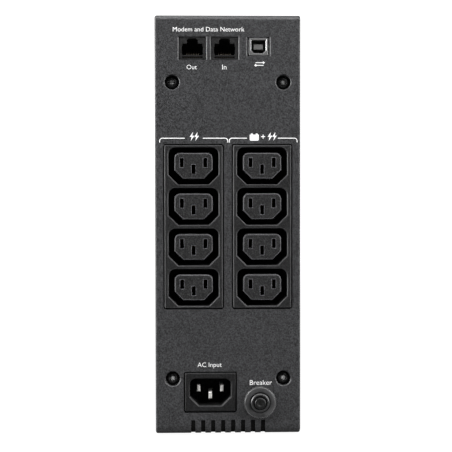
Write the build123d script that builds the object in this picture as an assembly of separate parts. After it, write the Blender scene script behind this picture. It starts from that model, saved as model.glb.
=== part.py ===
"""A tower uninterruptible power supply, taken apart into the pieces it is assembled from.

Frame: millimetres, +Z up, origin on the floor at the middle of the cabinet's footprint.
-Y is the connection side, with the sockets, and +Y is the user's side, with the power button.

The cabinet is two moulded half shells on a folded steel chassis, closed by a rear panel and a
front bezel. A steel shelf splits it: below lies a battery tray that slides out to the front,
above stand the transformer and the main board. The rear panel holds two strips of four
appliance outlets, the mains inlet, a resettable breaker and the data sockets.
"""

from build123d import *
import os

os.makedirs("parts", exist_ok=True)

# ---------------------------------------------------------------- driving dimensions
WIDTH = 87.0
OVERALL_DEPTH = 382.0
BODY_HEIGHT = 251.0
FOOT_STANDOFF = 1.0
BUTTON_STANDOUT = 6.0
WALL = 2.5
SKIRT_WALL = 2.2
SHUT_LINE = 0.4
EDGE_RADIUS = 1.2
TOP_BEND = 3.2
BOTTOM_BEND = 4.8
SHEET = 1.2

HALF = WIDTH / 2
BASE_Z = FOOT_STANDOFF
TOP_Z = BASE_Z + BODY_HEIGHT
REAR_Y = -OVERALL_DEPTH / 2 + BUTTON_STANDOUT
FRONT_Y = OVERALL_DEPTH / 2

# Where the cabinet's mouldings meet along its depth
PANEL_END_Y = REAR_Y + 14.0
SHELL_REAR_Y = PANEL_END_Y + SHUT_LINE
BEZEL_REAR_Y = FRONT_Y - 33.0
SHELL_FRONT_Y = BEZEL_REAR_Y - SHUT_LINE
PANEL_INNER_Y = REAR_Y + WALL

# Outlets: the pattern of the contacts is the standard one for this connector
OUTLET_X = 20.5
OUTLET_MID_Z = 125.9
OUTLET_PITCH = 24.26
OUTLETS_PER_STRIP = 4
STRIP_SIZE = (34.9, 97.6)
STRIP_GAP = 0.75
POCKET_SIZE = (30.1, 22.2)
NOSE_SIZE = (22.8, 15.4)
POCKET_DEPTH = 16.5
LINE_PITCH = 14.0
EARTH_DROP = 4.0

# Mains inlet
INLET_X, INLET_Z = -10.7, 26.4
INLET_FACE = (30.5, 23.3)
INLET_RECESS = (24.6, 16.2)
INLET_DEPTH = 16.0

# Breaker
BREAKER_X, BREAKER_Z = 19.1, 20.5
NUT_RADIUS = 9.5
BUSHING_RADIUS = 5.6
NUT_TEETH = 60
BUTTON_RADIUS = 3.5

# Data sockets
JACK_XS = (-21.0, -1.8)
JACK_Z = 232.3
JACK_FACE = (15.4, 13.3)
USB_X, USB_Z = 18.4, 233.2
USB_FACE = (11.6, 10.6)

# Rear screws
SCREW_X = 33.2
SCREW_ZS = (34.7, 212.1)
WELL_RADIUS, WELL_DEPTH = 4.4, 4.2

# Levels inside
SHELF_Z = 112.0
BASE_PLATE_Z = BASE_Z + WALL + 0.1
RAIL_TOP_Z = BASE_PLATE_Z + SHEET + 1.0
TRAY_Z = RAIL_TOP_Z + 0.2
BULKHEAD_Y = -146.0
BOARD_Z = 120.0
BOARD_THICKNESS = 1.6
COMM_BOARD_Z = JACK_Z + JACK_FACE[1] / 2

# Battery tray
BATTERY = (65.0, 151.0, 94.0)
TRAY_REAR_Y = -131.4
TRAY_HALF = 34.0
BATTERY_YS = (TRAY_REAR_Y + SHEET + 0.2, TRAY_REAR_Y + SHEET + 0.2 + BATTERY[1] + 1.0)
TRAY_FRONT_Y = BATTERY_YS[1] + BATTERY[1] + 0.2 + SHEET
PLUG_Z = 69.0
TRAY_END_Z = 82.0

# Front
DOOR_TOP_Z = 118.0
CROWN_RADIUS = 300.0
DOOR_BACK_Y = 179.2
BUTTON_Z = 214.0
POWER_RADIUS = 9.0
POWER_TRAVEL = 1.8
LIGHT_ZS = (184.0, 172.0, 160.0)


# ---------------------------------------------------------------- small tools
def block(x0, x1, y0, y1, z0, z1):
    """A box between two corners."""
    return Pos((x0 + x1) / 2, (y0 + y1) / 2, (z0 + z1) / 2) * Box(x1 - x0, y1 - y0, z1 - z0)


def rod_y(radius, x, z, y0, y1):
    """A cylinder along Y."""
    return Pos(x, (y0 + y1) / 2, z) * Rot(90, 0, 0) * Cylinder(radius, y1 - y0)


def rod_z(radius, x, y, z0, z1):
    """A cylinder along Z."""
    return Pos(x, y, (z0 + z1) / 2) * Cylinder(radius, z1 - z0)


def cone_y(radius_low, radius_high, x, z, y0, y1):
    """A cone along Y, radius_low at y0 and radius_high at y1."""
    return Pos(x, (y0 + y1) / 2, z) * Rot(-90, 0, 0) * Cone(radius_low, radius_high, y1 - y0)


def along_y(sketch, y0, y1, x=0.0, z=0.0):
    """A sketch drawn as (X, Z), centred on x and z and drawn out from y0 to y1."""
    plane = Plane(origin=(x, y1, z), x_dir=(1, 0, 0), z_dir=(0, -1, 0))
    return extrude(plane * sketch, amount=y1 - y0)


def along_x(sketch, x0, x1):
    """A sketch drawn as (Y, Z), drawn out from x0 to x1."""
    return extrude(Plane(origin=(x0, 0, 0), x_dir=(0, 1, 0), z_dir=(1, 0, 0)) * sketch, amount=x1 - x0)


def along_z(sketch, z0, z1):
    """A sketch drawn as (X, Y), drawn out from z0 to z1."""
    return extrude(Plane(origin=(0, 0, z0)) * sketch, amount=z1 - z0)


def polygon(points):
    """A face from its corners."""
    return make_face(Polyline(*points, close=True))


def join(pieces):
    """One solid from touching pieces."""
    first, *rest = pieces
    for piece in rest:
        first = first + piece
    return first


def group(pieces):
    """Separate solids that are kept in one node."""
    return Compound(children=[solid for piece in pieces for solid in piece.solids()])


def tube(points, radius, bend):
    """A round lead that runs straight between its points and turns in arcs."""
    path = FilletPolyline(*points, radius=bend)
    start = Plane(origin=path @ 0, z_dir=path % 0)
    return sweep(start * Circle(radius), path=path)


def connector_outline(size, top_radius, cut):
    """The appliance connector's outline: round at the top corners, cut at 45 degrees below."""
    w, h = size[0] / 2, size[1] / 2
    corners = [(-w + cut, -h), (w - cut, -h), (w, -h + cut), (w, h), (-w, h), (-w, -h + cut)]
    outline = polygon(corners)
    outline = fillet(outline.vertices().group_by(Axis.Y)[-1], top_radius)
    return fillet(outline.vertices().group_by(Axis.Y)[0], 0.8)


def rim(solid, y):
    """The edges of a solid that lie in the plane of a given Y."""
    return solid.edges().filter_by_position(Axis.Y, y - 0.01, y + 0.01)


def cabinet_section(inset, radius):
    """The cabinet's outline across its depth, taken in by an inset."""
    return Pos(0, BASE_Z + BODY_HEIGHT / 2) * RectangleRounded(
        WIDTH - 2 * inset, BODY_HEIGHT - 2 * inset, radius
    )


# ---------------------------------------------------------------- rear panel
def rear_form(inset, y_end):
    """The rear panel's outer shape, or its hollow, with the bend at the top and the bottom."""
    y0 = REAR_Y + (WALL if inset else 0.0)
    outline = Pos((y0 + y_end) / 2, BASE_Z + BODY_HEIGHT / 2) * Rectangle(y_end - y0, BODY_HEIGHT - 2 * inset)
    outline = fillet(outline.vertices().group_by(Axis.X)[0].sort_by(Axis.Y)[-1], TOP_BEND - inset)
    outline = fillet(outline.vertices().group_by(Axis.X)[0].sort_by(Axis.Y)[0], BOTTOM_BEND - inset)
    return along_x(outline, -HALF + inset, HALF - inset)


def rounded_rear_form():
    """The outer shape with its two side edges rounded."""
    form = rear_form(0.0, PANEL_END_Y)
    ends = [e for e in form.edges() if abs(abs(e.center().X) - HALF) < 0.01]
    return fillet([e for e in ends if e.center().Y < PANEL_END_Y - 0.1], EDGE_RADIUS)


def inner_lip(y0, y1, y2):
    """A rim that closes the shut line from inside: thick from y0 to y1, and thin from y1 to y2."""
    outer, thin = WALL + 0.2, WALL + 1.4
    foot = along_y(cabinet_section(SKIRT_WALL - 0.2, 0.8), y0, y1)
    tongue = along_y(cabinet_section(outer, 0.6), y1, y2)
    bore = along_y(cabinet_section(thin, 0.4), min(y0, y2) - 1, max(y1, y2) + 1)
    return (foot + tongue) - bore


def side_lit_cutout(x, z, width, height):
    """A square hole whose two upright edges are bevelled on the outside."""
    bevel = 0.85
    w = width / 2
    y0, y1, y2 = REAR_Y - 1.0, REAR_Y + bevel, PANEL_INNER_Y + 1.0
    outline = [(-w, y2), (-w, y1), (-w - bevel - 1.0, y0), (w + bevel + 1.0, y0), (w, y1), (w, y2)]
    return Pos(x, 0, 0) * along_z(polygon(outline), z - height / 2, z + height / 2)


def strip_outline(gap):
    """The outline of an outlet strip, let out by a gap."""
    return RectangleRounded(STRIP_SIZE[0] + 2 * gap, STRIP_SIZE[1] + 2 * gap, 0.8 + gap)


def screw_places():
    """X and Z of the four rear screws."""
    return [(side * SCREW_X, z) for side in (-1, 1) for z in SCREW_ZS]


def card_guides():
    """Two grooved rails inside the panel that hold the small board by its edges."""
    rails = []
    z0, z1 = COMM_BOARD_Z, COMM_BOARD_Z + BOARD_THICKNESS
    for side in (-1, 1):
        x = sorted((side * 31.0, side * 36.0))
        rail = block(x[0], x[1], PANEL_INNER_Y - 0.5, REAR_Y + 40.0, z0 - 2.0, z1 + 2.0)
        rails.append(rail - block(-33.1, 33.1, REAR_Y + 3.1, REAR_Y + 41.0, z0 - 0.02, z1 + 0.02))
    return join(rails)


def rear_panel():
    """The moulded rear panel, with its cut-outs, screw wells and vent slots."""
    body = rounded_rear_form() - rear_form(SKIRT_WALL, PANEL_END_Y + 1)
    body += inner_lip(PANEL_END_Y - 2.5, PANEL_END_Y, PANEL_END_Y + 5.0)
    for x, z in screw_places():
        body += rod_y(WELL_RADIUS + 1.0, x, z, PANEL_INNER_Y - 0.5, REAR_Y + 9.0)
        body -= rod_y(WELL_RADIUS, x, z, REAR_Y - 1, REAR_Y + WELL_DEPTH)
        body -= cone_y(WELL_RADIUS + 0.7, WELL_RADIUS, x, z, REAR_Y - 0.2, REAR_Y + 0.5)
        body -= rod_y(2.2, x, z, REAR_Y, REAR_Y + 10)
    for side in (-1, 1):
        body -= along_y(strip_outline(STRIP_GAP), REAR_Y - 1, PANEL_INNER_Y + 1, side * OUTLET_X, OUTLET_MID_Z)
    inlet = RectangleRounded(INLET_FACE[0] + 2 * STRIP_GAP, INLET_FACE[1] + 2 * STRIP_GAP, 1.4)
    body -= along_y(inlet, REAR_Y - 1, PANEL_INNER_Y + 1, INLET_X, INLET_Z)
    for x in JACK_XS:
        body -= side_lit_cutout(x, JACK_Z, JACK_FACE[0] + 0.4, JACK_FACE[1] + 0.5)
    body -= side_lit_cutout(USB_X, USB_Z, USB_FACE[0] + 1.3, USB_FACE[1] + 0.7)
    body -= rod_y(BUSHING_RADIUS + 0.3, BREAKER_X, BREAKER_Z, REAR_Y - 1, PANEL_INNER_Y + 1)
    xs = [6.0 * (slot - 3.5) for slot in range(8)]
    body -= [block(x - 1.3, x + 1.3, REAR_Y - 1, REAR_Y + 7.0, BASE_Z - 1, BASE_Z + 8.6) for x in xs]
    return body + card_guides()


def rear_screws():
    """Four pan-head screws with a cross recess, which hold the panel to the shells."""
    pieces = []
    for x, z in screw_places():
        seat = REAR_Y + WELL_DEPTH
        head = rod_y(3.9, x, z, seat - 2.4, seat)
        head = fillet(rim(head, seat - 2.4), 1.3)
        for turn in (0, 90):
            head -= Pos(x, seat - 2.0, z) * Rot(0, turn, 0) * Box(4.2, 1.6, 0.9)
        pieces.append(head + rod_y(1.9, x, z, seat, seat + 22.0))
    return group(pieces)


# ---------------------------------------------------------------- shells
def shell_vents(side):
    """Upright vent slots in a side wall: a high row over the electronics and a low row."""
    cutters = []
    for row_z, height, count in ((220.0, 30.0, 26), (24.0, 14.0, 26)):
        for i in range(count):
            y = (i - (count - 1) / 2) * 10.4 - 6.0
            slot = Pos(y, row_z) * SlotCenterToCenter(height - 3.0, 3.0, rotation=90)
            cutters.append(along_x(slot, side * 42.0 - 2.0, side * 42.0 + 2.0))
    return cutters


def shell_boss(side, z):
    """A screw boss that stands behind a well of the rear panel, with its rib to the wall."""
    x = side * SCREW_X
    y0 = REAR_Y + 9.2
    boss = rod_y(4.6, x, z, y0, y0 + 24.0)
    rib_x = sorted((x + side * 3.0, side * (HALF - 1.0)))
    rib = block(rib_x[0], rib_x[1], PANEL_END_Y + 6.5, y0 + 24.0, z - 1.2, z + 1.2)
    return (boss + rib) - rod_y(2.0, x, z, y0 - 1, y0 + 20.0)


def foot_places():
    """X and Y of the four feet."""
    return [(x, y) for x in (-29.0, 29.0) for y in (-150.0, 138.0)]


def half_shell(side):
    """One moulded half of the cabinet: a side wall with half of the roof and of the floor."""
    ring = cabinet_section(0.0, EDGE_RADIUS) - cabinet_section(WALL, 0.5)
    shell = along_y(ring, SHELL_REAR_Y, SHELL_FRONT_Y)
    keep = sorted((0.0, side * (HALF + 1)))
    shell &= block(keep[0], keep[1], SHELL_REAR_Y - 1, SHELL_FRONT_Y + 1, 0, TOP_Z + 1)
    seam = [e for e in shell.edges().filter_by(Axis.Y) if abs(e.center().X) < 0.01]
    outside = [e for e in seam if e.center().Z > TOP_Z - 0.1 or e.center().Z < BASE_Z + 0.1]
    shell = chamfer(outside, 0.35)
    for z in SCREW_ZS:
        shell += shell_boss(side, z)
    shell -= shell_vents(side)
    for x, y in foot_places():
        if x * side > 0:
            shell -= rod_z(9.2, x, y, BASE_Z - 1, BASE_Z + 1.0)
            shell -= rod_z(3.0, x, y, BASE_Z, BASE_Z + 3.0)
    return shell


def rubber_feet():
    """Four rubber pads whose plugs snap through the shells' floor and the steel plate."""
    pads = []
    for x, y in foot_places():
        pad = rod_z(9.0, x, y, 0.0, BASE_Z + 1.0)
        pad = chamfer(pad.edges().filter_by_position(Axis.Z, -0.01, 0.01), 0.6)
        pad += rod_z(2.9, x, y, BASE_Z + 1.0, BASE_PLATE_Z + SHEET + 0.8)
        pad += rod_z(3.4, x, y, BASE_PLATE_Z + SHEET + 0.05, BASE_PLATE_Z + SHEET + 0.8)
        pads.append(pad)
    return group(pads)


# ---------------------------------------------------------------- outlet strips
def outlet_zs():
    """The heights of the outlets in a strip."""
    return [OUTLET_MID_Z + OUTLET_PITCH * (i - (OUTLETS_PER_STRIP - 1) / 2) for i in range(OUTLETS_PER_STRIP)]


OUTLET_FRONT_Y = REAR_Y - 0.2
CORE_BACK_Y = OUTLET_FRONT_Y + POCKET_DEPTH + 5.0
BUS_Y = CORE_BACK_Y + 3.0
CONTACT_PLACES = ((-LINE_PITCH / 2, EARTH_DROP / 2), (LINE_PITCH / 2, EARTH_DROP / 2), (0.0, -EARTH_DROP / 2))


def outlet_housing(x):
    """The strip's moulding: four pockets in one block, with a flange behind the panel."""
    pocket_floor = OUTLET_FRONT_Y + POCKET_DEPTH
    body = along_y(strip_outline(0.0), OUTLET_FRONT_Y, pocket_floor + 2.5, x, OUTLET_MID_Z)
    flange = RectangleRounded(STRIP_SIZE[0] + 4.6, STRIP_SIZE[1] + 4.6, 1.5)
    body += along_y(flange, PANEL_INNER_Y + 0.05, PANEL_INNER_Y + 2.0, x, OUTLET_MID_Z)
    body = chamfer(rim(body, OUTLET_FRONT_Y), 0.5)
    pocket = connector_outline(POCKET_SIZE, 4.2, 5.8)
    nose_hole = connector_outline((NOSE_SIZE[0] + 0.1, NOSE_SIZE[1] + 0.1), 3.2, 5.2)
    for z in outlet_zs():
        body -= along_y(pocket, OUTLET_FRONT_Y - 1, pocket_floor, x, z)
        body -= along_y(nose_hole, pocket_floor - 1, pocket_floor + 4, x, z)
    mouths = [e for e in rim(body, OUTLET_FRONT_Y) if abs(e.center().X - x) < 15.2]
    return chamfer([e for e in mouths if abs(e.center().Z - OUTLET_MID_Z) < 48.0], 0.4)


def outlet_cores(x):
    """The four noses that hold the contacts, each with three slots in its face."""
    cores = []
    for z in outlet_zs():
        core = along_y(connector_outline(NOSE_SIZE, 3.2, 5.2), OUTLET_FRONT_Y + 0.4, CORE_BACK_Y, x, z)
        core = chamfer(rim(core, OUTLET_FRONT_Y + 0.4), 0.45)
        core += along_y(RectangleRounded(26.0, 18.6, 1.0), CORE_BACK_Y - 2.4, CORE_BACK_Y, x, z)
        for dx, dz in CONTACT_PLACES:
            core -= along_y(Rectangle(2.4, 5.7), OUTLET_FRONT_Y, CORE_BACK_Y + 1, x + dx, z + dz)
            core -= along_y(Rectangle(3.8, 6.4), OUTLET_FRONT_Y + 4.0, CORE_BACK_Y + 1, x + dx, z + dz)
        cores.append(core)
    return group(cores)


def contact_strip(x, dz):
    """One stamped brass strip: four sprung receptacles on tails from a common bar."""
    y0 = OUTLET_FRONT_Y + 9.5
    y1 = CORE_BACK_Y - 2.0
    zs = [z + dz for z in outlet_zs()]
    strip = block(x - 2.2, x + 2.2, BUS_Y, BUS_Y + 0.8, zs[0] - 3.0, zs[-1] + 3.0)
    for z in zs:
        fork = block(x - 1.7, x + 1.7, y0, y1, z - 2.6, z + 2.6)
        fork -= block(x - 1.2, x + 1.2, y0 - 1, y1 - 1.0, z - 3.0, z + 3.0)
        strip += fork + block(x - 0.4, x + 0.4, y1, BUS_Y, z - 2.0, z + 2.0)
    return strip


def outlet_contacts():
    """The six contact strips: live, neutral and earth behind each row of outlets."""
    return group(
        contact_strip(side * OUTLET_X + dx, dz) for side in (-1, 1) for dx, dz in CONTACT_PLACES
    )


# ---------------------------------------------------------------- mains inlet and breaker
def inlet_body():
    """The inlet's moulding, a recess with a flange behind the panel."""
    back = REAR_Y + INLET_DEPTH + 6.0
    body = along_y(RectangleRounded(*INLET_FACE, 0.8), REAR_Y - 0.2, back, INLET_X, INLET_Z)
    flange = RectangleRounded(INLET_FACE[0] + 3.1, INLET_FACE[1] + 3.1, 1.2)
    body += along_y(flange, PANEL_INNER_Y + 0.05, PANEL_INNER_Y + 2.0, INLET_X, INLET_Z)
    body = chamfer(rim(body, REAR_Y - 0.2), 0.5)
    recess = connector_outline(INLET_RECESS, 3.6, 5.6)
    body -= along_y(recess, REAR_Y - 1, REAR_Y + INLET_DEPTH, INLET_X, INLET_Z)
    mouth = [e for e in rim(body, REAR_Y - 0.2) if abs(e.center().Z - INLET_Z) < 9.0]
    body = chamfer([e for e in mouth if abs(e.center().X - INLET_X) < 12.9], 0.7)
    for dx, dz in CONTACT_PLACES:
        body -= along_y(Rectangle(2.05, 4.05), REAR_Y + INLET_DEPTH - 1, back + 1, INLET_X + dx, INLET_Z + dz)
    return body


def inlet_pins():
    """Three flat pins that run through the moulding to tabs behind it."""
    pins = []
    for (dx, dz), tip in zip(CONTACT_PLACES, (2.4, 2.4, 1.0)):
        pin = along_y(Rectangle(2.0, 4.0), REAR_Y + tip, REAR_Y + 29.0, INLET_X + dx, INLET_Z + dz)
        pins.append(fillet(rim(pin, REAR_Y + tip), 0.7))
    return group(pins)


BREAKER_BACK_Y = REAR_Y + 21.0
BUTTON_TIP_Y = REAR_Y - BUTTON_STANDOUT
FLANGE_Y = REAR_Y + 9.0
BORE_END_Y = REAR_Y + 17.0


BREAKER_TAB_ZS = (13.5, 31.5)


def breaker_case():
    """The thermal breaker: a bushing on a square case, bored for its button and its two tabs."""
    case = block(BREAKER_X - 7.2, BREAKER_X + 7.2, PANEL_INNER_Y + 0.05, BREAKER_BACK_Y, 8.5, 36.5)
    case = fillet(case.edges().filter_by(Axis.Y), 1.0)
    bushing = rod_y(BUSHING_RADIUS, BREAKER_X, BREAKER_Z, REAR_Y - 4.0, PANEL_INNER_Y + 1.0)
    bushing = chamfer(rim(bushing, REAR_Y - 4.0), 0.5)
    body = case + bushing
    body -= rod_y(BUTTON_RADIUS + 0.08, BREAKER_X, BREAKER_Z, REAR_Y - 5, FLANGE_Y)
    body -= cone_y(BUTTON_RADIUS + 0.9, BUTTON_RADIUS + 0.08, BREAKER_X, BREAKER_Z, REAR_Y - 4.01, REAR_Y - 2.8)
    body -= rod_y(4.7, BREAKER_X, BREAKER_Z, REAR_Y + 4.6, BORE_END_Y)
    return body - [breaker_tab(z, 0.02) for z in BREAKER_TAB_ZS]


def breaker_nut():
    """The round nut that clamps the breaker to the panel, serrated round its rim."""
    nut = rod_y(NUT_RADIUS, BREAKER_X, BREAKER_Z, REAR_Y - 2.6, REAR_Y - 0.02)
    nut = chamfer(rim(nut, REAR_Y - 2.6), 0.5)
    notch = Pos(NUT_RADIUS + 0.1, 0, 0) * Rot(0, 45, 0) * Box(0.42, 8.0, 0.42)
    turns = [Rot(0, 360.0 * i / NUT_TEETH, 0) for i in range(NUT_TEETH)]
    nut -= [Pos(BREAKER_X, REAR_Y, BREAKER_Z) * turn * notch for turn in turns]
    return nut - rod_y(BUSHING_RADIUS + 0.05, BREAKER_X, BREAKER_Z, REAR_Y - 4, REAR_Y + 1)


def breaker_button():
    """The reset button: a domed plunger with a collar that keeps it in its bore."""
    stem = rod_y(BUTTON_RADIUS, BREAKER_X, BREAKER_Z, BUTTON_TIP_Y, FLANGE_Y)
    stem = fillet(rim(stem, BUTTON_TIP_Y), 1.1)
    stem -= cone_y(1.9, 1.2, BREAKER_X, BREAKER_Z, BUTTON_TIP_Y - 0.01, BUTTON_TIP_Y + 0.4)
    return stem + rod_y(4.4, BREAKER_X, BREAKER_Z, FLANGE_Y - 0.5, FLANGE_Y + 1.5)


def breaker_tab(z, clearance):
    """One flat tab at the back of the breaker, or its pocket when it is let out."""
    x = 3.15 + clearance
    y0 = BREAKER_BACK_Y - 3.0
    return block(BREAKER_X - x, BREAKER_X + x, y0, y0 + 11.0, z - 0.4 - clearance, z + 0.4 + clearance)


def breaker_terminals():
    """The two tabs of the breaker, each with its locking hole."""
    return group(
        breaker_tab(z, 0.0) - rod_z(0.8, BREAKER_X, BREAKER_BACK_Y + 4.5, z - 1, z + 1)
        for z in BREAKER_TAB_ZS
    )


# ---------------------------------------------------------------- data sockets
JACK_FRONT_Y = REAR_Y + 0.5
JACK_BACK_Y = JACK_FRONT_Y + 17.0


def network_jack(x):
    """An eight-way modular jack, with its latch notch at the top."""
    body = along_y(RectangleRounded(*JACK_FACE, 0.3), JACK_FRONT_Y, JACK_BACK_Y, x, JACK_Z)
    mouth = [
        (12.0, -4.2, 2.8),
        (12.7, -3.4, 1.2),
        (6.6, 2.7, 5.2),
        (5.0, 5.1, 5.9),
    ]
    for width, low, high in mouth:
        body -= block(
            x - width / 2, x + width / 2, JACK_FRONT_Y - 1, JACK_FRONT_Y + 13.5, JACK_Z + low, JACK_Z + high
        )
    comb = block(x - 6.1, x + 6.1, JACK_FRONT_Y - 1, JACK_FRONT_Y + 1.0, JACK_Z - 6.0, JACK_Z - 4.8)
    return body - comb


def data_contacts():
    """Eight sprung gold wires in each jack and four gold strips on the port's tongue."""
    wires = []
    for x in JACK_XS:
        for i in range(8):
            cx = x + 1.02 * (i - 3.5)
            y0 = JACK_FRONT_Y + 1.5
            z0 = JACK_Z - 4.15
            slope = polygon([(y0, z0), (y0 + 1.0, z0), (y0 + 9.0, z0 + 2.9), (y0 + 8.6, z0 + 3.25)])
            wires.append(along_x(slope, cx - 0.2, cx + 0.2))
    for x in (USB_X - 1.25, USB_X + 1.25):
        for z in (USB_Z - 1.75, USB_Z + 1.55):
            wires.append(block(x - 0.5, x + 0.5, USB_FRONT_Y + 2.4, USB_FRONT_Y + 10.8, z, z + 0.2))
    return group(wires)


USB_FRONT_Y = REAR_Y + 0.3
USB_BACK_Y = USB_FRONT_Y + 16.0
USB_MOUTH = (8.8, 8.0)


def usb_outline(size, cut):
    """The square data port's outline, with its two lower corners cut."""
    w, h = size[0] / 2, size[1] / 2
    return polygon([(-w + cut, -h), (w - cut, -h), (w, -h + cut), (w, h), (-w, h), (-w, -h + cut)])


def usb_shell():
    """The data port's folded steel shell, with rolled lips round its mouth."""
    shell = along_y(RectangleRounded(*USB_FACE, 0.6), USB_FRONT_Y, USB_BACK_Y, USB_X, USB_Z)
    shell = fillet(rim(shell, USB_FRONT_Y), 0.35)
    inside = RectangleRounded(USB_FACE[0] - 0.8, USB_FACE[1] - 0.8, 0.3)
    shell -= along_y(inside, USB_FRONT_Y + 1.2, USB_BACK_Y + 1, USB_X, USB_Z)
    shell -= along_y(usb_outline(USB_MOUTH, 1.9), USB_FRONT_Y - 1, USB_FRONT_Y + 2, USB_X, USB_Z)
    shell = chamfer([e for e in rim(shell, USB_FRONT_Y) if abs(e.center().X - USB_X) < 4.5], 0.3)
    for x in (USB_X - 5.8, USB_X + 5.4):
        top = COMM_BOARD_Z + BOARD_THICKNESS + 0.8
        shell += block(x, x + 0.4, USB_FRONT_Y + 9.0, USB_FRONT_Y + 12.0, USB_Z + 4.0, top)
    return shell


def usb_insulator():
    """The port's black insulator, with the tongue that carries the contacts."""
    fit = RectangleRounded(USB_FACE[0] - 0.9, USB_FACE[1] - 0.9, 0.3)
    body = along_y(fit, USB_FRONT_Y + 1.25, USB_BACK_Y - 0.2, USB_X, USB_Z)
    body -= along_y(usb_outline(USB_MOUTH, 1.9), USB_FRONT_Y, USB_FRONT_Y + 11.0, USB_X, USB_Z)
    tongue = along_y(Rectangle(5.6, 3.1), USB_FRONT_Y + 1.6, USB_FRONT_Y + 12.0, USB_X, USB_Z)
    return body + chamfer(rim(tongue, USB_FRONT_Y + 1.6), 0.3)


def comm_board():
    """The small board that hangs the data sockets from its underside."""
    z0 = COMM_BOARD_Z
    board = block(-33.0, 33.0, REAR_Y + 3.2, REAR_Y + 62.0, z0, z0 + BOARD_THICKNESS)
    for x in (USB_X - 5.6, USB_X + 5.6):
        board -= block(x - 0.5, x + 0.5, USB_FRONT_Y + 8.7, USB_FRONT_Y + 12.3, z0 - 1, z0 + 3)
    return board


def surge_arrestors():
    """Disc suppressors for the data lines, under the small board."""
    discs = []
    for i in range(4):
        x = -20.0 + 11.0 * i
        disc = Pos(x, REAR_Y + 30.0, COMM_BOARD_Z - 5.5) * Rot(90, 0, 0) * Cylinder(4.2, 3.2)
        discs.append(fillet(disc.edges(), 1.0))
    return group(discs)


# ---------------------------------------------------------------- front
def front_form(inset, z0, z1, y0):
    """The crowned front: a slice of the cabinet's outline under a shallow cylinder."""
    outline = along_y(cabinet_section(inset, max(EDGE_RADIUS - inset, 0.4)), y0, FRONT_Y)
    crown = rod_z(CROWN_RADIUS - inset, 0, FRONT_Y - CROWN_RADIUS, -10, TOP_Z + 10)
    return outline & crown & block(-HALF, HALF, y0, FRONT_Y, z0 + inset * (z0 > BASE_Z), z1 - inset * (z1 < TOP_Z))


def crown_slab(x_half, z0, z1, depth):
    """A plate of even thickness that follows the crown of the front."""
    outer = rod_z(CROWN_RADIUS, 0, FRONT_Y - CROWN_RADIUS, z0, z1)
    inner = rod_z(CROWN_RADIUS - depth, 0, FRONT_Y - CROWN_RADIUS, z0 - 1, z1 + 1)
    return (outer - inner) & block(-x_half, x_half, FRONT_Y - 20, FRONT_Y + 1, z0, z1)


def front_skin(z0, z1, y0):
    """The front's outer shape with softened edges round its face."""
    form = front_form(0.0, z0, z1, y0)
    return chamfer(form.faces().sort_by(Axis.Y)[-1].edges(), 0.9)


WINDOW_HALF, WINDOW_LOW, WINDOW_HIGH, WINDOW_DEPTH = 23.0, 146.0, 238.0, 1.6
TRAY_GATE = (36.4, BASE_Z + 4.2, 111.6)
HOOK_ZS = (26.0, 98.0)
GATE_Y = DOOR_BACK_Y - 3.0


def hook(side, z, clearance):
    """A snap hook of the battery door, or its slot when it is let out by a clearance."""
    x = sorted((side * (37.9 - clearance), side * (39.5 + clearance)))
    return block(x[0], x[1], GATE_Y - 5.0, DOOR_BACK_Y + 2.5, z - 4.0 - clearance, z + 4.0 + clearance)


def front_bezel():
    """The bezel: a skirt round the front, the crowned upper face, and the battery gate below."""
    skirt = along_y(cabinet_section(0.0, EDGE_RADIUS), BEZEL_REAR_Y, DOOR_BACK_Y - 0.4)
    skirt -= along_y(cabinet_section(SKIRT_WALL, 0.6), BEZEL_REAR_Y - 1, GATE_Y)
    upper = front_skin(DOOR_TOP_Z, TOP_Z, DOOR_BACK_Y - 0.4)
    body = skirt + upper
    body -= block(-HALF + 3.2, HALF - 3.2, GATE_Y - 1, DOOR_BACK_Y + 5.0, DOOR_TOP_Z + 3.0, TOP_Z - 4.0)
    body -= front_form(3.2, DOOR_TOP_Z, TOP_Z, DOOR_BACK_Y - 1.0)
    body += inner_lip_front()
    half, low, high = TRAY_GATE
    body -= block(-half, half, GATE_Y - 1, DOOR_BACK_Y, low, high)
    for side in (-1, 1):
        for z in HOOK_ZS:
            body -= hook(side, z, 0.4)
    body -= crown_slab(WINDOW_HALF + 0.15, WINDOW_LOW - 0.15, WINDOW_HIGH + 0.15, WINDOW_DEPTH)
    body -= rod_y(POWER_RADIUS + 0.3, 0, BUTTON_Z, FRONT_Y - 12, FRONT_Y + 1)
    for z in LIGHT_ZS:
        body -= rod_y(1.3, 0, z, FRONT_Y - 12, FRONT_Y + 1)
    for x, z in front_screw_places():
        body += rod_y(2.6, x, z, FRONT_BOARD_Y + BOARD_THICKNESS, FRONT_Y - 3.5)
        body -= rod_y(1.2, x, z, FRONT_BOARD_Y, FRONT_BOARD_Y + 12.0)
    return body


def inner_lip_front():
    """The rim that closes the shut line between bezel and shells from inside."""
    outer, thin = WALL + 0.2, WALL + 1.4
    foot = along_y(cabinet_section(SKIRT_WALL - 0.2, 0.8), BEZEL_REAR_Y, BEZEL_REAR_Y + 2.5)
    tongue = along_y(cabinet_section(outer, 0.6), BEZEL_REAR_Y - 5.0, BEZEL_REAR_Y)
    return (foot + tongue) - along_y(cabinet_section(thin, 0.4), BEZEL_REAR_Y - 6.0, BEZEL_REAR_Y + 4.0)


FRONT_BOARD_Y = 168.0


def front_screw_places():
    """X and Z of the screws of the front board."""
    return [(x, z) for x in (-25.0, 25.0) for z in (150.0, 238.0)]


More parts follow.
